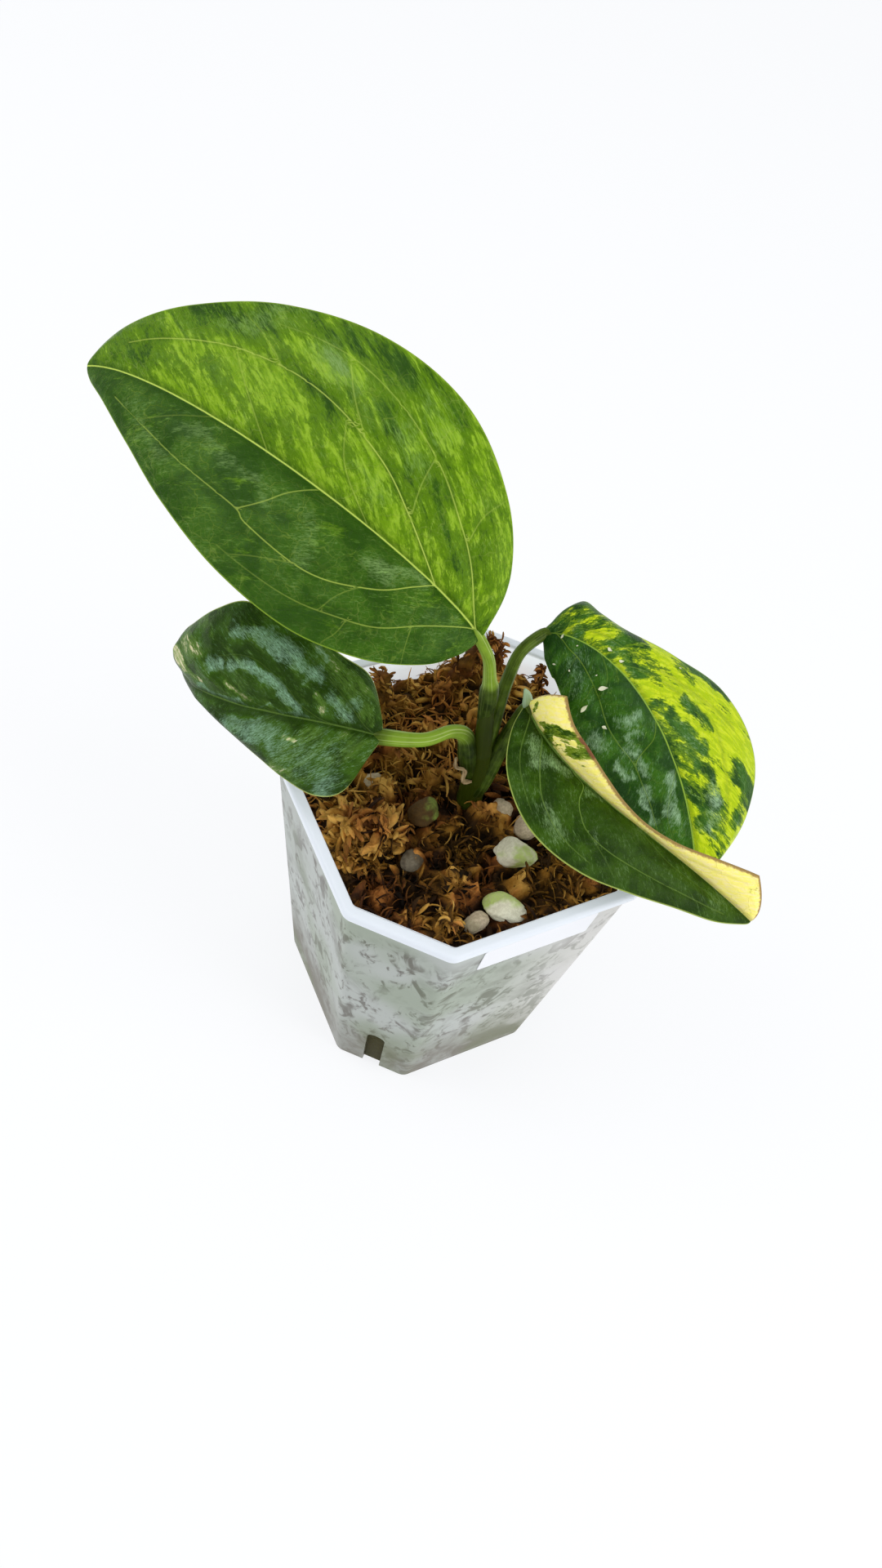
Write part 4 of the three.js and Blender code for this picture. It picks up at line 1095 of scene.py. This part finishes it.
def pot_wall(tree, place):
    """The wall's colour and how far each place belongs to the rim. Damp moss behind it shows as
    threads and soft blots. It is clean above the moss and along the rim. It is painted lighter on its
    right side, where the light falls, and paler along the rim with painted light that comes through
    it. It is darker and more olive towards the foot."""
    parts = node(tree, "SeparateXYZ", in_Vector=place).outputs
    across, height = parts["X"], parts["Z"]
    strokes = speckle(tree, place, (190, 190, 120), 3, 0.55, 1.0)
    spots = speckle(tree, place, (270, 270, 170), 4, 0.6, 0.8)
    haze = speckle(tree, place, (80, 80, 62), 4, 0.6, 0.5)
    regions = speckle(tree, place, (44, 44, 36), 3, 0.55)
    tint = speckle(tree, place, (34, 34, 30), 2, 0.5)
    busy = times(tree, remap(tree, regions, 0.28, 0.52), remap(tree, across, 0.03, -0.012, 0.5, 1.0))
    amount = times(tree, remap(tree, strokes, 0.5, 0.66, 0.0, 0.9), busy)
    amount = larger(tree, amount, times(tree, remap(tree, spots, 0.55, 0.67, 0.0, 0.85), busy))
    amount = larger(tree, amount, remap(tree, haze, 0.5, 0.72, 0.0, 0.5))
    tone = {name: colour(*tone) for name, tone in POT_TONES.items()}
    wall = mix(tree, remap(tree, tint, 0.4, 0.6), tone["grey"], tone["green"])
    # Painted light: lighter towards the right side, where the light falls.
    wall = mix(tree, remap(tree, across, -0.015, 0.025, 0.0, 0.85), wall, tone["lit"])
    stain = mix(tree, remap(tree, tint, 0.42, 0.58), tone["stain"], tone["stain_green"])
    wall = mix(tree, times(tree, amount, remap(tree, height, 0.0915, 0.086)), wall, stain)
    foot = mix(tree, remap(tree, tint, 0.42, 0.56), tone["foot"], tone["foot_green"])
    low = times(tree, remap(tree, height, 0.042, 0.006, 0, 0.95), remap(tree, haze, 0.35, 0.58, 0.55, 1))
    wall = mix(tree, low, wall, foot)
    # Painted light: the rim is paler, as light comes through it.
    rim = remap(tree, height, 0.0925, 0.0955)
    return mix(tree, rim, wall, tone["rim"]), rim


def pot_material():
    """Frosted plastic. Light comes through it above the moss and along the rim."""
    made, tree, shader = material("frosted_plastic")
    place = object_place(tree)
    wall, rim = pot_wall(tree, place)
    lit = mix(tree, larger(tree, times(tree, rim, 0.18), attribute(tree, "inside")), BLACK, (0.9, 0.95, 1, 1))
    dress(tree, shader, Base_Color=wall, Roughness=0.36, Specular_IOR_Level=0.22)
    dress(tree, shader, Emission_Color=lit, Emission_Strength=0.6)
    dress(tree, shader, Normal=bump(tree, speckle(tree, place, 700, 3), 0.00006, 0.35))
    deepen(shader, 0.15, (0.004, 0.004, 0.004), 0.5)
    return made


def stone_skin_group():
    """A stone's body with a cloudy patch on the side that the piece turns to it, and fine pits."""
    inputs = {"Color": "Body Patch Pits", "Float": "Amount"}
    tree, given, end = group("stone_skin", inputs, {"Color": "Color", "Float": "Height"})
    place = object_place(tree)
    cloud = speckle(tree, place, 190, 3, 0.5)
    cloud = plus(tree, cloud, times(tree, attribute(tree, "toward"), 0.16))
    grain = speckle(tree, place, 1400, 5, 0.65)
    low, high = minus(tree, 0.6, given["Amount"]), minus(tree, 0.78, given["Amount"])
    skin = mix(tree, remap(tree, cloud, low, high), given["Body"], given["Patch"])
    skin = mix(tree, remap(tree, grain, 0.42, 0.6, 0.35, 0.0), skin, given["Pits"])
    feed(tree, skin, end["Color"])
    feed(tree, grain, end["Height"])
    return tree


def stone_material(name, shared):
    made, tree, shader = material(name)
    amount, tones = STONE_LOOKS[name]
    skin = placed(tree, shared, tones, Amount=amount)
    normal = bump(tree, skin["Height"], 0.0004, 0.8)
    dress(tree, shader, Base_Color=skin["Color"], Roughness=0.8, Normal=normal)
    return made


def paper_material():
    made, tree, shader = material("label_paper")
    fibres = speckle(tree, object_place(tree), 2600, 3)
    paper = mix(tree, fibres, colour(250, 251, 255), colour(244, 246, 251))
    dress(tree, shader, Base_Color=paper, Roughness=0.55, Normal=bump(tree, fibres, 0.00002, 0.3))
    return made


def dry_material():
    made, tree, shader = material("dry_sheath")
    streak = speckle(tree, uv(tree, "flat"), (0.4, 9), 4)
    skin = mix(tree, remap(tree, streak, 0.4, 0.65), colour(196, 170, 125), colour(128, 98, 62))
    dress(tree, shader, Base_Color=skin, Roughness=0.7, Normal=bump(tree, streak, 0.0002, 0.6))
    return made


def plain_material(name, tone):
    made, tree, shader = material(name)
    dress(tree, shader, Base_Color=colour(*tone), Roughness=0.6)
    return made


# The pot
def octagon(size, chamfer, height, radius, arc=8, side=6):
    """An eight-sided outline with corners rounded by true arcs, anticlockwise from above."""
    half = size / 2
    near = half - chamfer
    corners = np.array([
        (half, -near), (half, near), (near, half), (-near, half),
        (-half, near), (-half, -near), (-near, -half), (near, -half),
    ])
    reach = radius * np.tan(np.pi / 8)
    before = corners + reach * unit(np.roll(corners, 1, axis=0) - corners)
    after = corners + reach * unit(np.roll(corners, -1, axis=0) - corners)
    heading = np.arctan2(*(corners - before).T[::-1]) - np.pi / 2
    turn = np.linspace(0, np.pi / 4, arc + 1)
    centre = before - radius * np.stack([np.cos(heading), np.sin(heading)], -1)
    angle = heading[:, None] + turn
    round_part = centre[:, None] + radius * np.stack([np.cos(angle), np.sin(angle)], -1)
    share = np.linspace(0, 1, side + 1)[1:-1, None]
    straight = after[:, None] + share * (np.roll(before, -1, axis=0) - after)[:, None]
    ring = np.concatenate([round_part, straight], 1).reshape(-1, 2)
    return np.column_stack([ring, np.full(len(ring), height)])


def wall_section(height, inset, radius=None):
    """The outline of the wall at a height, moved in by the inset. The wall leans out evenly."""
    share = height / POT["height"]
    size = POT["base"] + (POT["rim"] - 2 * POT["lip"] - POT["base"]) * share
    chamfer = POT["base_chamfer"] + (POT["rim_chamfer"] - POT["base_chamfer"]) * share
    corner = radius or max(0.6, POT["corner"] - 0.8 * inset)
    return octagon(size - 2 * inset, chamfer - inset * (2 - 2**0.5), height, corner)


def rim_section(height, inset):
    """The outline of the upright rim, moved in by the inset."""
    chamfer = POT["rim_chamfer"] - inset * (2 - 2**0.5)
    return octagon(POT["rim"] - 2 * inset, chamfer, height, POT["corner"] - 0.4 * inset)


def wall_thickness(height):
    """The wall's thickness at a height, which grows a little towards the rim."""
    return POT["wall"] + (POT["band"] - POT["lip"] - POT["wall"]) * height / POT["height"]


def pot_rings():
    """From the middle of the underside out over the foot, up the wall, over the rim and down inside."""
    top = POT["height"]
    ledge = top - POT["skirt"]
    outer, mouth = POT["outer_round"], POT["mouth_round"]
    rings = [wall_section(0, 20), wall_section(0, 1.6), wall_section(0.15, 0.9), wall_section(0.5, 0.35)]
    rings += [wall_section(z, 0) for z in np.linspace(1.2, ledge - 0.5, 26)]
    rings += [wall_section(ledge - 0.1, -0.12), rim_section(ledge, 0.3), rim_section(ledge + 0.12, 0.08)]
    rings += [rim_section(ledge + 0.35, 0), rim_section(top - outer, 0)]
    for angle in np.radians([20, 40, 60, 80]):
        rings.append(rim_section(top - outer + outer * np.sin(angle), outer - outer * np.cos(angle)))
    inner = POT["band"] - mouth
    rings += [rim_section(top, 1.2), rim_section(top, inner)]
    for angle in np.radians([25, 50, 75]):
        rings.append(rim_section(top - mouth + mouth * np.cos(angle), inner + mouth * np.sin(angle)))
    floor = POT["floor"]
    rings += [wall_section(z, wall_thickness(z)) for z in np.linspace(top - 0.9, floor + 0.8, 24)]
    foot = wall_thickness(floor)
    rings += [wall_section(floor + 0.25, foot + 0.25), wall_section(floor, foot + 0.8)]
    rings.append(wall_section(floor, 20))
    return rings


def slot_cutter(turn):
    """A tall slot with a rounded top, through the foot of one cut corner."""
    half = SLOT["width"] / 2
    arc = np.linspace(0, np.pi, 17)
    x = np.concatenate([[-half, half], half * np.cos(arc)])
    z = np.concatenate([[-1, -1], SLOT["height"] - half + half * np.sin(arc)])
    reach = (POT["base"] - POT["base_chamfer"]) / 2**0.5
    rings = []
    for y in (reach + SLOT["outward"], reach - SLOT["inward"]):
        flat = np.column_stack([x, np.full(len(x), y)])
        c, s = np.cos(turn), np.sin(turn)
        rings.append(np.column_stack([flat @ np.array([(c, s), (-s, c)]), z]))
    return loft(rings)


def cut_slots(pot):
    """Takes the four slots out of the pot and leaves the result in its own mesh."""
    points, faces = joined([slot_cutter(np.pi / 4 + k * np.pi / 2) for k in range(4)])
    mesh = bpy.data.meshes.new("slots")
    mesh.from_pydata((points * MM).tolist(), [], faces)
    tool = in_scene("slots", mesh)
    cut = pot.modifiers.new("slots", "BOOLEAN")
    cut.operation, cut.solver, cut.object = "DIFFERENCE", "EXACT", tool
    cut.use_self = False
    graph = bpy.context.evaluated_depsgraph_get()
    result = bpy.data.meshes.new_from_object(pot.evaluated_get(graph))
    pot.modifiers.clear()
    old, pot.data = pot.data, result
    bpy.data.meshes.remove(old)
    bpy.data.objects.remove(tool)
    bpy.data.meshes.remove(mesh)


def build_pot(finish):
    """The pot as one shell. inside marks the bare strip of its inner face above the moss."""
    points, faces = loft(pot_rings())
    inside = (points[:, 2] > 80) & (points[:, 2] < POT["height"] - 0.05)
    inside &= np.arange(len(points)) > len(points) * 0.62
    pot = make("pot_shell", points, faces, finish, "pot", "frosted_plastic", {"inside": inside * 1.0})
    cut_slots(pot)
    pot.data.polygons.foreach_set("use_smooth", np.full(len(pot.data.polygons), True))
    pot.data.set_sharp_from_angle(angle=np.radians(38))
    return pot


def build_label(finish):
    """A thin blank rectangle with slightly rounded corners, flat on the wall under the rim."""
    low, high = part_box("label")
    low, high = np.array(low) / MM, np.array(high) / MM
    width, height, corner = high[0] - low[0], high[2] - low[2], 0.8
    turn = np.radians(np.arange(0, 360, 15))
    ring = corner * np.column_stack([np.cos(turn), np.sin(turn)])
    ring += np.sign(ring + 1e-9) * np.array([width / 2 - corner, height / 2 - corner])
    lean = (POT["rim"] / 2 - POT["lip"] - POT["base"] / 2) / POT["height"]
    rings = []
    for off in (0.05, 0.16, 0.2):
        inset = 0.04 if off == 0.2 else 0.0
        x = ring[:, 0] * (1 - inset / width) + (low[0] + high[0]) / 2
        z = ring[:, 1] * (1 - inset / height) + (low[2] + high[2]) / 2
        rings.append(np.column_stack([x, -(POT["base"] / 2 + lean * z + off), z]))
    points, faces = loft(rings)
    return make("label_paper", points, faces, finish, "label", "label_paper", smooth=False)


# Moss
def ground(x, y):
    """Height of the moss: its level, with round heaps and slow crossing waves."""
    height = MOSS_LEVEL
    height = height + sum(h * np.exp(-((x - cx) ** 2 + (y - cy) ** 2) / r**2) for cx, cy, r, h in HEAPS)
    bent_x, bent_y = 0.52 * x + 1.3 * np.sin(0.37 * y), 0.47 * y - 0.8 * np.sin(0.41 * x)
    height = height + 1.3 * np.sin(bent_x) * np.cos(bent_y)
    return height + 0.7 * np.sin(1.13 * x - 0.9 * y) * np.cos(0.97 * y + 0.6 * x)


def crumbs(x, y):
    """Lumps of the cushion: soft billows with sharp creases between them, and finer ones on top."""
    billow = np.abs(fractal(x / 6, y / 6, 11, 2)) * 5
    finer = np.abs(fractal(x / 2.3 + billow, y / 2.3, 23, 3)) * 2.6
    return 2.2 * billow + finer + 0.8 * fractal(x / 0.9, y / 0.9, 31, 2) - 3.0


def held_inside(points, clear=0.5):
    """Draws points in until they lie inside the pot's wall at their height."""
    z = np.clip(points[..., 2], 0, POT["height"])
    half = wall_half(z) - clear
    chamfer = POT["base_chamfer"] + (POT["rim_chamfer"] - POT["base_chamfer"]) * z / POT["height"]
    cut = half * 2 - chamfer - 0.3
    x, y = np.abs(points[..., 0]) + 1e-6, np.abs(points[..., 1]) + 1e-6
    share = np.minimum.reduce([np.ones_like(x), half / x, half / y, cut / (x + y)])
    result = points.copy()
    result[..., :2] *= share[..., None]
    return result


def wall_half(z):
    """Half the inner width of the pot at a height."""
    outer = (POT["base"] + (POT["rim"] - 2 * POT["lip"] - POT["base"]) * z / POT["height"]) / 2
    return outer - wall_thickness(z)


def build_cushion(finish):
    """Rings from the floor up along the wall, then over the moss in to its middle."""
    edge = wall_section(MOSS_LEVEL, wall_thickness(MOSS_LEVEL) + 0.2, radius=2.0)
    turn = np.linspace(0, 1, CUSHION["around"], endpoint=False)
    share = np.linspace(0, 1, len(edge) + 1)
    around = np.column_stack([np.interp(turn, share, np.append(edge[:, k], edge[0, k])) for k in (0, 1)])
    rings = []
    for reach in np.linspace(1, 0.004, CUSHION["rings"]):
        x, y = (around * reach).T
        z = ground(x, y) + crumbs(x, y) * min(1, (1 - reach) * 8 + 0.3)
        rings.append(np.column_stack([x, y, z]))
    top = np.array(rings)
    # Painted shade: the cushion is darker where it lies low in its creases and lighter on its lumps.
    tone = (top[..., 2] - ground(top[..., 0], top[..., 1])) * 0.14 + 0.42
    sides = []
    for z in (0.2, 20, 45, 70, 84):
        share = (wall_half(z) - 0.3) / (wall_half(MOSS_LEVEL) - 0.3)
        sides.append(np.column_stack([around * share, np.full(len(around), z)]))
    points, faces = loft(np.concatenate([sides, top]))
    # The sides down along the wall take the darkest tone: painted shade inside the pot.
    values = np.concatenate([np.full(len(sides) * len(around), 0.05), tone.ravel(), [0.05, 0.4]])
    return make("moss_cushion", points, faces, finish, "moss", "moss", {"tone": values})


def ribbons(root, heading, climb, length, width, rng):
    """Curled shoots. Each starts at its root and bends as it goes: its heading turns and its climb
    falls evenly along it. Its section is a flat four-sided one that narrows to both ends."""
    count = len(root)
    k = np.linspace(0, 1, SHOOT_ROWS)
    curl = rng.normal(0, 1.5, count)[:, None] * k
    fall = rng.uniform(0.2, 1.9, count)[:, None] * k
    turn, lift = heading[:, None] + curl, climb[:, None] - fall
    ahead = np.stack([np.cos(turn) * np.cos(lift), np.sin(turn) * np.cos(lift), np.sin(lift)], -1)
    step = (length / (SHOOT_ROWS - 1))[:, None, None]
    path = root[:, None] + np.cumsum(ahead * step, axis=1) - ahead[:, :1] * step
    side = unit(np.cross(ahead, (0.0, 0.0, 1.0)))
    up = np.cross(side, ahead)
    roll = (rng.uniform(-1.2, 1.2, count)[:, None] + rng.normal(0, 1.2, count)[:, None] * k)[..., None]
    wide = side * np.cos(roll) + up * np.sin(roll)
    thick = np.cross(wide, ahead)
    half = (width[:, None] * np.sin(np.pi * (0.14 + 0.8 * k)) ** 0.7)[..., None]
    cup = 0.35 * half * thick
    out, up = wide * half, thick * half * 0.3
    return np.stack([path + out + cup, path + up, path - out + cup, path - up], 2)


def ribbon_faces(count):
    """The faces of that many shoots: the strips along each one and its two ends."""
    strip = grid_faces(SHOOT_ROWS, SHOOT_SIDES, closed=True)[:, ::-1]
    each = SHOOT_ROWS * SHOOT_SIDES
    one = np.concatenate([strip, [[0, 1, 2, 3]], [[each - 1, each - 2, each - 3, each - 4]]])
    return (one[None] + (np.arange(count) * each)[:, None, None]).reshape(-1, 4)


def clear_of_others(x, y, margin):
    """True where a place on the moss is clear of the stones and the stem."""
    free = np.hypot(x - STEM_FOOT[0], y - STEM_FOOT[1]) > 2.4 + margin
    for cx, cy, _, size, _, _, _ in STONES:
        free &= np.hypot(x - cx, y - cy) > 0.42 * size[0] + margin
    return free


def strewn(rng, count, among):
    """Random places on the moss, clear of the stones and the stem. They lie all over it, or within
    a circle given as x, y and radius."""
    reach = POT["rim"] / 2 - 3
    x, y = rng.uniform(-reach, reach, (2, count * 4))
    if among:
        away = among[2] * np.sqrt(rng.random(count * 4))
        angle = rng.uniform(0, 2 * np.pi, count * 4)
        x, y = among[0] + away * np.cos(angle), among[1] + away * np.sin(angle)
    inside = (np.abs(x) < reach) & (np.abs(y) < reach)
    inside &= np.abs(x) + np.abs(y) < 2 * reach - POT["rim_chamfer"]
    keep = np.flatnonzero(inside & clear_of_others(x, y, 1.1))[:count]
    return x[keep], y[keep]


def build_shoots(name, finish):
    """Loose shoots that spring from the cushion, brighter behind the stem than before it."""
    count, seed, tone, long, wide, among = SHOOTS[name]
    rng = np.random.default_rng(seed)
    x, y = strewn(rng, count, among)
    root = np.column_stack([x, y, ground(x, y) + crumbs(x, y) - 0.4])
    length = rng.uniform(*long, len(x))
    width = rng.uniform(*wide, len(x))
    heading = rng.uniform(0, 2 * np.pi, len(x))
    climb = rng.uniform(0.1, 1.3, len(x))
    points = held_inside(ribbons(root, heading, climb, length, width, rng))
    shaded = 0.25 * fractal(x / 9, y / 9, 61, 2) + 0.48 * falling(6 - y, 0.4)
    own = (rng.uniform(*tone, len(x)) + shaded)[:, None, None]
    # Painted shade: each shoot is darker at its root, down in the cushion, than at its tip.
    own = own + 0.12 * np.linspace(-1, 1, SHOOT_ROWS)[None, :, None]
    values = np.broadcast_to(own, (len(x), SHOOT_ROWS, SHOOT_SIDES)).ravel()
    faces = ribbon_faces(len(x))
    return make(name, points.reshape(-1, 3), faces, finish, "moss", "moss", {"tone": values})


def build_twists(finish):
    """Lumpy twists of moss, with short shoots standing out all round them."""
    rng = np.random.default_rng(77)
    lumps = lambda along, turn: 0.8 + 0.9 * fractal(along / 1.6, turn * 1.3 + 3 * np.sin(turn), 5, 3)
    bodies, roots, heads, climbs = [], [], [], []
    for path, girth in TWISTS:
        rings, _ = stalk(path, girth, sides=20, spacing=0.5, hint=(1, 0.3, 0), shape=lumps)
        bodies.append(loft(rings))
        pick = rng.integers(4, len(rings), 60)
        spot = rng.integers(0, 20, 60)
        root = rings[pick, spot]
        out = unit(root - rings[pick].mean(1))
        roots.append(root - 0.3 * out)
        heads.append(np.arctan2(out[:, 1], out[:, 0]) + rng.normal(0, 0.5, 60))
        climbs.append(rng.uniform(0.2, 1.4, 60))
    root, heading, climb = np.concatenate(roots), np.concatenate(heads), np.concatenate(climbs)
    count = len(root)
    shoots = ribbons(root, heading, climb, rng.uniform(1.5, 3.6, count), rng.uniform(0.25, 0.6, count), rng)
    own = np.repeat(rng.uniform(0.35, 0.95, count), SHOOT_ROWS * SHOOT_SIDES)
    tone = np.concatenate([np.full(sum(len(body) for body, _ in bodies), 0.45), own])
    bodies.append((held_or_free(shoots).reshape(-1, 3), ribbon_faces(count).tolist()))
    return make("moss_twists", *joined(bodies), finish, "moss", "moss", {"tone": tone})


def held_or_free(points):
    """Below the rim points are held inside the pot, and above it they are left as they are."""
    inside = held_inside(points)
    return np.where(points[..., 2:] < POT["height"] + 0.5, inside, points)


# Stones
def build_stone(k, finishes):
    """A ball cut by 13 soft-edged planes, roughened with noise and squeezed to its size. toward is
    how far each place faces the way of the coloured patch."""
    x, y, z, size, turn, look, patch = STONES[k]
    around = np.linspace(0, 2 * np.pi, 56, endpoint=False)
    down = np.linspace(0.03, np.pi - 0.03, 34)
    phi, theta = np.meshgrid(down, around, indexing="ij")
    ball = np.stack([np.sin(phi) * np.cos(theta), np.sin(phi) * np.sin(theta), -np.cos(phi)], -1)
    rng = np.random.default_rng(100 + k)
    planes = unit(rng.normal(size=(13, 3)))
    reach = rng.uniform(0.6, 0.95, 13)
    cut = (reach / np.maximum(ball @ planes.T, 1e-3)).clip(0, 1.1)
    radius = -np.log(np.exp(-16 * cut).sum(-1) + np.exp(-16)) / 16 + 0.12
    radius = radius + 0.16 * fractal(theta * 1.3 + 9 * k, phi * 2.6, 200 + k, 4) * np.sin(phi)
    body = ball * radius[..., None] * np.array(size) / 2
    c, s = np.cos(np.radians(turn)), np.sin(np.radians(turn))
    across, along, up = body[..., 0], body[..., 1], body[..., 2]
    body = np.stack([across * c - along * s, across * s + along * c, up], -1)
    points, faces = loft(body + np.array([x, y, z]))
    way = np.array([np.cos(np.radians(patch)), np.sin(np.radians(patch)), 0.2])
    toward = unit(np.array(points) - np.array([x, y, z])) @ way
    slot = "gravel" if look.startswith("gravel") else "pumice"
    name, node_name = f"pebble_{k + 1}", f"stone_{k + 1}"
    return make(name, points, faces, finishes[look], node_name, slot, {"toward": toward})


# The plant
def build_leaf(name, finish, stalk_finish, seed):
    """The blade and the stalk of a leaf. Gives the blade's places, for what lies on it."""
    leaf = LEAVES[name]
    slot = leaf["slot"]
    points, faces, values, maps, skin = blade(leaf, seed)
    make(f"{name}_blade", points, faces, finish, name, slot, values, maps)
    rings, run, shade = petiole(leaf)
    points, faces = loft(rings)
    make(f"{name}_stalk", points, faces, stalk_finish, name, slot, {"shade": shade}, {"flat": run})
    return skin


def build_flakes(skin, finish, node_name, slot):
    """Dry pale flakes on the blade, each a lens-shaped section that narrows to both ends, with the
    ends a little raised."""
    s, across, top, normal = skin
    turn = np.linspace(0, 2 * np.pi, 10, endpoint=False)
    bodies = []
    for side, at, t, length, width, angle in FLAKES:
        i, j = np.unravel_index(np.hypot(s - at, (across - side * t) * 0.2).argmin(), s.shape)
        out = normal[i, j]
        ahead = unit(top[i + 1, j] - top[i - 1, j])
        sideways = np.cross(out, ahead)
        c, d = np.cos(np.radians(angle)), np.sin(np.radians(angle))
        ahead, sideways = c * ahead + d * sideways, c * sideways - d * ahead
        run = np.linspace(-0.48, 0.48, 9)[:, None]
        half = 0.45 * width * np.cos(np.pi * run) * (1 - 1.1 * run)
        lift = 0.16 + 0.5 * length * run**2 + 0.07 * np.sin(turn)
        rings = top[i, j] + (run * length)[..., None] * ahead + lift[..., None] * out
        rings = rings + (half * np.cos(turn))[..., None] * sideways
        bodies.append(loft(rings))
    make("pale_flakes", *joined(bodies), finish, node_name, slot)


def build_tube(name, tube, shape, finish, node_name, slot, shade=None):
    """A closed tube about a curve, evenly shaded where a shade is given."""
    rings, run = stalk(**tube, shape=shape)
    points, faces = loft(rings)
    values = {} if shade is None else {"shade": np.full(len(points), shade)}
    make(name, points, faces, finish, node_name, slot, values, {"flat": run})


def build_hood(finish, slot):
    """The pointed hood at the top of the folded leaf's sheath."""
    flatten = lambda along, turn: 1 - 0.55 * np.abs(np.sin(turn))
    build_tube("leaf_folded_hood", HOOD, flatten, finish, "leaf_folded", slot, 0.0)


def build_stem(finish):
    """The stem, a little thicker at each joint where a leaf sprang."""
    joint = lambda along: 0.06 * np.exp(-((((along - 30) % 9) - 4.5) ** 2) / 0.6)
    shape = lambda along, turn: 1 + joint(along) + 0.02 * np.sin(7 * turn)
    build_tube("stem_axis", STEM, shape, finish, "stem", "stem", 1.0)


def build_scrap(finish):
    """The dried scrap of sheath, curled and ridged."""
    curl = lambda along, turn: 1 + 0.35 * np.sin(turn * 2 + along * 0.9) + 0.15 * np.sin(5 * turn + along)
    build_tube("dry_scrap", SCRAP, curl, finish, "dry_sheath", "dry_sheath")


# Setting
def build_camera():
    data = bpy.data.cameras.new("camera")
    data.lens = CAMERA["lens"]
    data.sensor_width = 36
    data.clip_start = 0.01
    camera = in_scene("camera", data)
    axes = Matrix([CAMERA["right"], CAMERA["up"], CAMERA["back"]]).transposed().to_4x4()
    camera.matrix_world = Matrix.Translation(Vector(CAMERA["place"]) * MM) @ axes
    bpy.context.scene.camera = camera


def build_lamp(name):
    place, power = LAMPS[name]
    data = bpy.data.lights.new(name, "AREA")
    data.shape, data.size, data.energy = "DISK", LAMP_SIZE, power
    lamp = in_scene(name, data)
    lamp.location = place
    lamp.rotation_euler = (Vector(LAMP_TARGET) - Vector(place)).to_track_quat("-Z", "Y").to_euler()


def build_floor():
    mesh = bpy.data.meshes.new("floor")
    r = FLOOR_REACH
    mesh.from_pydata([(-r, -r, 0), (r, -r, 0), (r, r, 0), (-r, r, 0)], [], [(0, 1, 2, 3)])
    floor = in_scene("floor", mesh)
    made, tree, shader = material("floor_white")
    dress(tree, shader, Base_Color=(0.2, 0.2, 0.2, 1), Roughness=0.9, Specular_IOR_Level=0.1)
    dress(tree, shader, Emission_Color=(0.97, 0.98, 1, 1), Emission_Strength=0.83)
    mesh.materials.append(made)


def build_world():
    world = bpy.data.worlds.new("soft_studio")
    world.use_nodes = True
    sky = world.node_tree.nodes["Background"].inputs
    sky[0].default_value = (0.97, 0.985, 1.0, 1)
    sky[1].default_value = 0.6
    bpy.context.scene.world = world
    bpy.context.scene.view_settings.view_transform = "Standard"


build_camera()
build_floor()
build_world()
for name in LAMPS:
    build_lamp(name)

leaf_skin, stalk_skin, stone_skin = leaf_skin_group(), stalk_skin_group(), stone_skin_group()
stalk_finishes = {name: stalk_material(name, stalk_skin) for name in STALK_TONES}
skins = {}
for k, (name, leaf) in enumerate(LEAVES.items()):
    finish = leaf_material(leaf, leaf_skin)
    skins[name] = build_leaf(name, finish, stalk_finishes["leaf_stalk"], 40 + 10 * k)
flake_finish = plain_material("flake_skin", FLAKE_TONE)
build_flakes(skins["leaf_right"], flake_finish, "leaf_right", LEAF_RIGHT["slot"])
build_hood(stalk_finishes["hood_skin"], LEAF_FOLDED["slot"])
build_stem(stalk_finishes["stem_skin"])
build_scrap(dry_material())

moss_finish = moss_material()
build_cushion(moss_finish)
for name in SHOOTS:
    build_shoots(name, moss_finish)
build_twists(moss_finish)

stone_finishes = {name: stone_material(name, stone_skin) for name in STONE_LOOKS}
for k in range(len(STONES)):
    build_stone(k, stone_finishes)

build_pot(pot_material())
build_label(paper_material())
